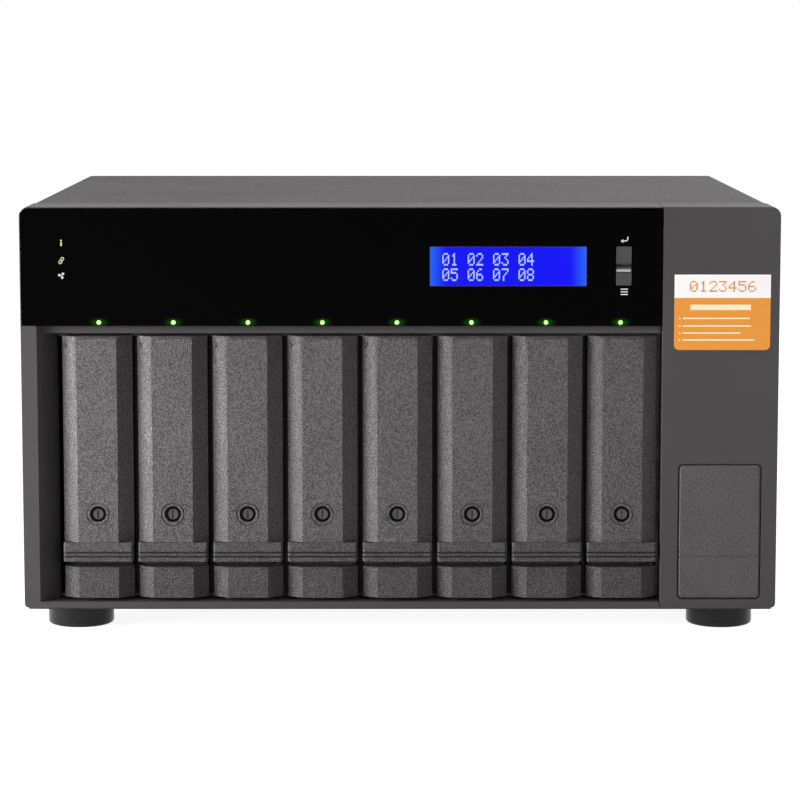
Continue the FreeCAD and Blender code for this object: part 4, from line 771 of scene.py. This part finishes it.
class SHELF_OT_display(bpy.types.Operator):
    """Blue character display: its glass with a bevelled rim, and numerals drawn in square dots"""
    bl_idname = "shelf.display"
    bl_label = "Character display"

    def execute(self, context):
        sizes = prepared(context)
        dress("display_module", "connector_plastic")
        x0, x1, z0, z1 = DISPLAY
        loops = [[(x0 + inset, FRONT + depth, z0 + inset), (x1 - inset, FRONT + depth, z0 + inset),
                  (x1 - inset, FRONT + depth, z1 - inset), (x0 + inset, FRONT + depth, z1 - inset)]
                 for inset, depth in ((0, 0.35), (0.12, 0.08), (0.3, 0.05))]
        faces = grid_faces(3, 4, wrap=True).tolist() + [[8, 9, 10, 11], [3, 2, 1, 0]]
        make_piece("display_glass_pane", (np.concatenate(loops), faces), "display_glass")
        numerals = digit_surfaces(("01 02 03 04", "05 06 07 08"), x0 + 5.4, z1 - 3.5, sizes.dot)
        make_piece("display_numerals", numerals, "display_glass", "digit")
        return {"FINISHED"}


DIGIT_ROWS = {      # each character's seven rows of five dots, as the bits of a hex number
    "0": "0E 11 13 15 19 11 0E", "1": "04 0C 04 04 04 04 0E", "2": "0E 11 01 02 04 08 1F",
    "3": "1F 02 04 02 01 11 0E", "4": "02 06 0A 12 1F 02 02", "5": "1F 10 1E 01 01 11 0E",
    "6": "06 08 10 1E 11 11 0E", "7": "1F 01 02 04 08 08 08", "8": "0E 11 11 0E 11 11 0E",
    " ": "00 00 00 00 00 00 00",
}


def digit_surfaces(lines, left, top, dot, pitch=0.61, rise=0.78):
    """Dots of the numerals: each character is 5 by 7 dots, and characters stand six dots apart. A dot is a thin
    tile. All corners are one array: the dot's place plus the tile's eight corners."""
    places = []
    for row, text in enumerate(lines):
        for column, character in enumerate(text):
            rows = [int(code, 16) for code in DIGIT_ROWS[character].split()]
            places += [(left + (6 * column + bit) * pitch, top - (8.5 * row + line) * rise)
                       for line, bits in enumerate(rows) for bit in range(5) if bits >> (4 - bit) & 1]
    places = np.array(places)
    corner = np.array([(i, j, k) for j in (0, 1) for k in (0, 1) for i in (0, 1)], float)
    tile = corner * (dot, 0.1, dot * rise / pitch) + (0, FRONT + 0.02, 0)
    points = (np.insert(places, 1, 0, 1)[:, None, :] + tile[None]).reshape(-1, 3)
    faces = np.array([(0, 1, 3, 2), (4, 6, 7, 5), (0, 4, 5, 1), (2, 3, 7, 6), (0, 2, 6, 4), (1, 5, 7, 3)])
    return points, (8 * np.arange(len(places))[:, None, None] + faces[None]).reshape(-1, 4).tolist()


class SHELF_OT_panel_details(bpy.types.Operator):
    """Push buttons, lamp rods and the backlit symbols of the glossy panel"""
    bl_idname = "shelf.panel_details"
    bl_label = "Buttons, lamps and symbols"

    def execute(self, context):
        prepared(context)
        for node in ("enter_button", "select_button"):
            recut(node, node.replace("button", "key"), "button_plastic", 0.4, segments=3)
        dress("light_pipes", "light_pipe")
        make_piece("status_symbols", status_symbols(STATUS_X), "light_pipe", "status_ink")
        make_piece("fan_symbol", fan_symbol(STATUS_X), "light_pipe", "symbol_ink")
        front = node_box("select_button")[0][1]
        # A pale strip on the select key: painted highlight of the key's upper edge
        ridge = slab(KEYS_X - 3.15, KEYS_X + 3.15, 159.4, 161.2, front, front + 0.6)
        piece = make_piece("select_key_ridge", ridge, "button_plastic", "key_painted_highlight", "select_button_cap")
        soften(piece, 0.25, segments=3)
        make_piece("key_symbols", key_symbols(KEYS_X), "light_pipe", "symbol_ink")
        return {"FINISHED"}


PRINT = (FRONT, FRONT + 0.15)       # front and back of the panel's symbols


def status_symbols(x):
    """Two status symbols, one above the other: a lamp post and a chain of two leaning links."""
    parts = [slab(x - 0.32, x + 0.32, 171.2, 172.9, *PRINT), prism(arc(x, 173.55, 0.38, 0, 330), *PRINT)]
    t = np.linspace(0, 2 * math.pi, 20, endpoint=False)
    lean = np.array([[math.cos(0.9), math.sin(0.9)], [-math.sin(0.9), math.cos(0.9)]])
    for side in (-1, 1):
        loop = np.stack([0.78 * np.cos(t), 0.58 * np.sin(t)], -1) @ lean
        parts.append(ribbon(loop + [x + 0.36 * side, 164.9 + 0.62 * side], 0.36, *PRINT, closed=True))
    return joined(parts)


def fan_symbol(x):
    """A three-bladed fan: one broad blade turned twice by a third of a circle."""
    blade = np.array([(0.0, 0.12), (0.45, -0.1), (1.3, 0.05), (1.45, 0.55), (1.0, 1.05), (0.45, 0.9)])
    parts = []
    for third in range(3):
        t = math.radians(120 * third + 20)
        spin = np.array([[math.cos(t), math.sin(t)], [-math.sin(t), math.cos(t)]])
        parts.append(prism(blade @ spin + [x, 158.4], *PRINT))
    return joined(parts)


def key_symbols(x):
    """Symbols of the two keys: a return arrow with a curved tail above them and three short lines below."""
    tail = [(x + 1.6, 175.2), (x + 1.6, 174.3), (x + 1.4, 173.75), (x + 0.9, 173.4), (x - 0.5, 173.35)]
    point = [(x - 1.45, 173.35), (x - 0.4, 172.5), (x - 0.4, 174.2)]
    lines = [slab(x - 1.3, x + 1.8, z - 0.21, z + 0.21, *PRINT) for z in (150.2, 151.35, 152.5)]
    return joined([ribbon(tail, 0.42, *PRINT), prism(point, *PRINT)] + lines)


class SHELF_OT_label(bpy.types.Operator):
    """Bare two-tone label on the side column: numerals in its pale band, and bars and bullets for its print"""
    bl_idname = "shelf.label"
    bl_label = "Bare label"

    def execute(self, context):
        prepared(context)
        x0, x1, low, split, high, corner = 118.8, 160.5, 126.0, 148.7, 158.8, 2.2
        film, ink = (FRONT + 0.04, FRONT + 0.3), (FRONT, FRONT + 0.1)
        field = np.concatenate([arc(x0 + corner, low + corner, corner, 180, 270, 8),
                                arc(x1 - corner, low + corner, corner, 270, 360, 8), [(x1, split), (x0, split)]])
        bars = [slab(x0 + 7.0, x0 + 33.2, 143.4, 145.8, *ink)]
        for z, width in ((139.8, 29.0), (136.5, 29.5), (133.4, 25.0), (130.4, 31.0)):
            bars += [prism(arc(x0 + 2.4, z, 0.36, 0, 330), *ink),
                     slab(x0 + 3.8, x0 + 3.8 + width, z - 0.3, z + 0.3, *ink)]
        for name, surface in (("label_field", prism(field, *film)),
                              ("label_band", slab(x0, x1, split, high, *film)),
                              ("label_ink", digit_surfaces(("0123456",), x0 + 6.6, 155.4, 0.66, 0.7, 0.68)),
                              ("label_print", joined(bars))):
            make_piece(name, surface, "front_plastic", name)
        return {"FINISHED"}


class SHELF_OT_chassis(bpy.types.Operator):
    """Steel cover with folded edges, base pan, rear panel, the parts inside and dark sheets of painted shade between
    the bays
    """
    bl_idname = "shelf.chassis"
    bl_label = "Chassis and interior"

    def execute(self, context):
        sizes = prepared(context)
        recut("top_cover", "steel_cover", "cover_paint", sizes.sheet_edge, outer=True)
        for look, nodes in (("rear_paint", "base_pan rear_panel"), ("zinc_steel", "drive_cage power_supply_case"),
                            ("guide_plastic", "guide_rails"), ("connector_plastic", "drive_sockets mains_inlet"),
                            ("circuit_board", "backplane_board controller_board front_panel_board"),
                            ("port_steel", "data_ports"), ("wiring", "wiring_harness"), ("fan_plastic", "fan_frames"),
                            ("button_plastic", "power_button")):
            for node in nodes.split():
                dress(node, look)
        low, high = node_box("guide_rails")
        # Thin near-black sheets lining each gap between two trays: painted shade
        gap_sheets = []
        for n in TRAYS[:-1]:
            middle = (node_box(f"tray_{n}_handle")[1][0] + node_box(f"tray_{n + 1}_handle")[0][0]) / 2
            for left, right in ((-1.02, -0.8), (0.8, 1.02)):
                gap_sheets.append(slab(middle + left, middle + right, low[2] + 12, high[2] - 6, low[1] + 0.2, low[1] + 9.8))
        make_piece("bay_gap_shade_sheets", joined(gap_sheets), "guide_plastic", "gap_shade")
        return {"FINISHED"}


class SHELF_OT_feet(bpy.types.Operator):
    """Four round feet with a rounded tread on a raised rim, a recess beneath and a groove near the top"""
    bl_idname = "shelf.feet"
    bl_label = "Feet"

    def execute(self, context):
        prepared(context)
        profile = [(0, 0.6), (5.0, 0.6), (5.3, 0.35), (9.6, 0.35), (10.0, 0.0), (13.3, 0.0), (13.9, 0.2), (14.4, 0.7),
                   (14.6, 1.3), (14.6, 8.6), (14.4, 8.75), (14.4, 9.05), (14.6, 9.2), (14.6, 10.5), (14.3, 10.8),
                   (0, 10.8)]
        feet = joined([revolve(profile, (x, y, 0), segments=72) for x, y in FOOT_SPOTS])
        soften(make_piece("rubber_feet", feet, "foot_rubber", replaces=("feet",)), 0.12, 40)
        return {"FINISHED"}


class SHELF_OT_fans(bpy.types.Operator):
    """Three fan rotors: a domed hub each, with seven twisted, cambered blades, or five on the small one"""
    bl_idname = "shelf.fans"
    bl_label = "Fan rotors"

    def execute(self, context):
        prepared(context)
        # front of the hub, its radius, the blades' tip radius, the shaft's radius and the number of blades
        large, small = (110.0, 19.5, 55.3, 1.5, 7), (121.0, 7.4, 16.6, 1.0, 5)
        for node, x, z, form in (("fan_rotor_left", FAN_CENTRES[0], FAN_HEIGHT, large),
                                 ("fan_rotor_right", FAN_CENTRES[1], FAN_HEIGHT, large),
                                 ("power_supply_fan_rotor", 134.75, 33.8, small)):
            make_piece(node.replace("rotor", "impeller"), rotor_surface(x, z, *form), "rotor_plastic",
                       body=node + "_body", replaces=(node,))
        return {"FINISHED"}


def rotor_surface(x, z, front, hub, tip, shaft, count, rear=128.5, stub=132.0):
    """Hub of revolution with a dished face, and blades: at share s of the span and chord share c, from 1 to -1 and
    back, a point lies at an angle of c times the chord over the radius, swept by s squared, and at a depth of c times
    the pitch; camber bows it by 1 - c squared, and the skin is the root of that."""
    steps = 12
    c = np.cos(np.linspace(0, 2 * math.pi, 2 * steps, endpoint=False))[None, None, :]
    side = np.where(np.arange(2 * steps) < steps, 1.0, -1.0)[None, None, :]
    share = np.linspace(0, 1, 10)[None, :, None]
    spin = (np.arange(count) * 2 * math.pi / count)[:, None, None]
    radius = hub - 0.6 + (tip - hub + 0.6) * share
    reach = hub * (0.42 + 0.18 * share)
    angle = spin + c * reach / radius + 0.18 * share ** 2
    pitch = (0.62 + 0.22 * share) * (rear - front)
    skin = 0.55 * np.sqrt(np.maximum(1 - c * c, 0)) * side * (1 - 0.45 * share) * hub / 19.5
    bow = 0.10 * (rear - front) * (1 - c * c)
    depth = (front + rear) / 2 + c * pitch / 2 + skin - bow + 0 * spin
    points = np.stack([x + radius * np.sin(angle), depth, z + radius * np.cos(angle)], -1)
    rows, columns = points.shape[1:3]
    faces = grid_faces(rows, columns, wrap=True).tolist()
    faces += [list(range(columns))[::-1], list(range((rows - 1) * columns, rows * columns))]
    profile = [(0, front + 1.1), (hub * 0.35, front + 0.9), (hub * 0.42, front + 0.3), (hub - 2.0, front),
               (hub - 0.6, front + 0.4), (hub, front + 1.5), (hub, rear - 0.4), (hub - 0.4, rear), (shaft, rear),
               (shaft, stub), (0, stub)]
    return joined([(blade.reshape(-1, 3), faces) for blade in points] + [revolve(profile, (x, 0, z), "Y", 72)])


class SHELF_OT_rear(bpy.types.Operator):
    """Knurled thumbscrews of the cover, cross-recessed screws of the fans, and the contacts of ports and inlet"""
    bl_idname = "shelf.rear"
    bl_label = "Screws and contacts"

    def execute(self, context):
        sizes = prepared(context)
        def knurl(turn):
            return 1 - 0.045 * np.abs(np.sin(turn * sizes.knurls / 2))

        head = [(1.5, -2.5), (1.5, 0.0), (3.9, 0.0), (4.5, 0.5), (4.5, 3.7), (4.0, 4.2), (2.9, 4.2), (2.6, 5.0),
                (1.9, 5.0), (1.5, 3.6), (0, 3.3)]
        shapes = {3: knurl, 4: knurl, 8: cross, 9: cross}
        thumbs = joined([revolve(head, (x, COVER_REAR, z), "Y", sizes.knurls * 4, shapes)
                         for x in (-159.9, 159.9) for z in (38.3, 165.7)])
        make_piece("cover_thumbscrews", thumbs, "screw_nickel", replaces=("fasteners",), smooth=25)
        pan = [(1.6, -4.0), (1.6, 0.0), (3.5, 0.0), (3.6, 0.3), (3.3, 0.9), (2.6, 1.3), (2.0, 1.4), (1.9, 1.4),
               (1.3, 0.3), (0, 0.1)]
        reach = FAN_SCREW_REACH
        screws = joined([revolve(pan, (x + a, WALL_REAR, FAN_HEIGHT + b), "Y", 48, {7: cross, 8: cross})
                         for x in FAN_CENTRES for a in (-reach, reach) for b in (-reach, reach)])
        make_piece("fan_cross_screws", screws, "screw_nickel")
        tongues = joined([slab(121.75, 123.25, z - 9.1, z + 9.1, 120.0, 129.2) for z in PORT_HEIGHTS])
        make_piece("port_tongues", tongues, "connector_plastic")
        contacts = joined([slab(123.2, 123.35, z + k * 0.8 - 0.25, z + k * 0.8 + 0.25, 121.0, 128.8)
                           for z in PORT_HEIGHTS for k in range(-10, 11)])
        make_piece("port_contacts", contacts, "port_steel", "gold")
        pins = joined([slab(x - 2.05, x + 2.05, z - 1.05, z + 1.05, 119.5, 130.1)
                       for x, z in ((132.75, 65.3), (132.75, 79.3), (136.75, 72.3))])
        soften(make_piece("inlet_pins", pins, "connector_plastic", "gold"), 0.4)
        return {"FINISHED"}


class SHELF_OT_stage(bpy.types.Operator):
    """Pale floor, soft lamps, white surroundings and the camera"""
    bl_idname = "shelf.stage"
    bl_label = "Studio"

    def execute(self, context):
        prepared(context)
        scene = bpy.context.scene
        mesh, half = bpy.data.meshes.new("studio_floor"), 6.0
        mesh.from_pydata([(-half, -half, 0), (half, -half, 0), (half, half, 0), (-half, half, 0)], [], [(0, 1, 2, 3)])
        mesh.materials.append(paper_finish())
        floor = bpy.data.objects.new("studio_floor", mesh)
        scene.collection.objects.link(floor)
        # name, place and target in metres, width and height in metres, spread in degrees, power in watts
        for name, place, target, width, height, spread, power in (
            ("lamp_left", (-0.58, -0.31, 0.14), (-0.03, -0.14, 0.10), 0.2, 0.2, 70, 1.68),
            ("lamp_right", (0.36, -0.75, 0.30), (0.17, -0.14, 0.11), 0.3, 0.4, 60, 0.29),
            ("lamp_front", (0.0, -1.6, 0.9), (0, -0.14, 0.08), 1.0, 0.5, 180, 0.8),
            ("lamp_top", (0.0, 0.15, 1.3), (0, 0, 0.18), 1.2, 0.9, 180, 7.0),
            ("lamp_back", (0.9, 1.0, 0.6), (0, 0.14, 0.1), 0.8, 0.6, 180, 7.0),
        ):
            data = bpy.data.lights.new(name, "AREA")
            data.shape, data.size, data.size_y, data.energy = "RECTANGLE", width, height, power
            data.spread = math.radians(spread)
            lamp = bpy.data.objects.new(name, data)
            lamp.location = place
            lamp.rotation_euler = (Vector(target) - Vector(place)).to_track_quat("-Z", "Y").to_euler()
            scene.collection.objects.link(lamp)
        scene.world = scene.world or bpy.data.worlds.new("studio")
        scene.world.use_nodes = True
        tree = scene.world.node_tree
        tree.nodes.clear()
        rays = add(tree, "LightPath").outputs
        seen = maths(tree, "MAXIMUM", rays["Is Camera Ray"], rays["Is Transmission Ray"])
        seen = maths(tree, "MAXIMUM", seen, rays["Is Glossy Ray"])
        sky = add(tree, "Background", {"Color": (1, 1, 1, 1), "Strength": ramp(tree, seen, 0.0, 1.0, 0.07, 1.0)})
        add(tree, "OutputWorld", {"Surface": sky.outputs[0]})
        camera = bpy.data.objects.new("camera", bpy.data.cameras.new("camera"))
        camera.data.lens = 135.1
        camera.location = (0.0, -1.4349, 0.2666)
        camera.rotation_euler = (math.radians(90 - 7.15), 0, 0)
        scene.collection.objects.link(camera)
        scene.camera = camera
        scene.view_settings.view_transform = "Standard"
        return {"FINISHED"}


class SHELF_PT_panel(bpy.types.Panel):
    """Sidebar panel with the shelf's sizes, colours and build steps"""
    bl_label = "Disk Shelf"
    bl_idname = "SHELF_PT_panel"
    bl_space_type = "VIEW_3D"
    bl_region_type = "UI"
    bl_category = "Disk Shelf"

    def draw(self, context):
        for group in (context.scene.shelf_sizes, context.scene.shelf_colours):
            for key in group.__annotations__:
                self.layout.prop(group, key)
        for operator in OPERATORS:
            self.layout.operator(operator.bl_idname)


OPERATORS = (SHELF_OT_stage, SHELF_OT_handles, SHELF_OT_trays, SHELF_OT_locks, SHELF_OT_front, SHELF_OT_display,
             SHELF_OT_panel_details, SHELF_OT_label, SHELF_OT_chassis, SHELF_OT_feet, SHELF_OT_fans, SHELF_OT_rear)
CLASSES = (ShelfSizes, ShelfColours, *OPERATORS, SHELF_PT_panel)


def register():
    for item in CLASSES:
        bpy.utils.register_class(item)
    bpy.types.Scene.shelf_sizes = PointerProperty(type=ShelfSizes)
    bpy.types.Scene.shelf_colours = PointerProperty(type=ShelfColours)


def unregister():
    del bpy.types.Scene.shelf_colours
    del bpy.types.Scene.shelf_sizes
    for item in reversed(CLASSES):
        bpy.utils.unregister_class(item)


def main():
    """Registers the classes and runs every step."""
    register()
    for operator in OPERATORS:
        group, step = operator.bl_idname.split(".")
        getattr(getattr(bpy.ops, group), step)()


if __name__ == "__main__":
    main()
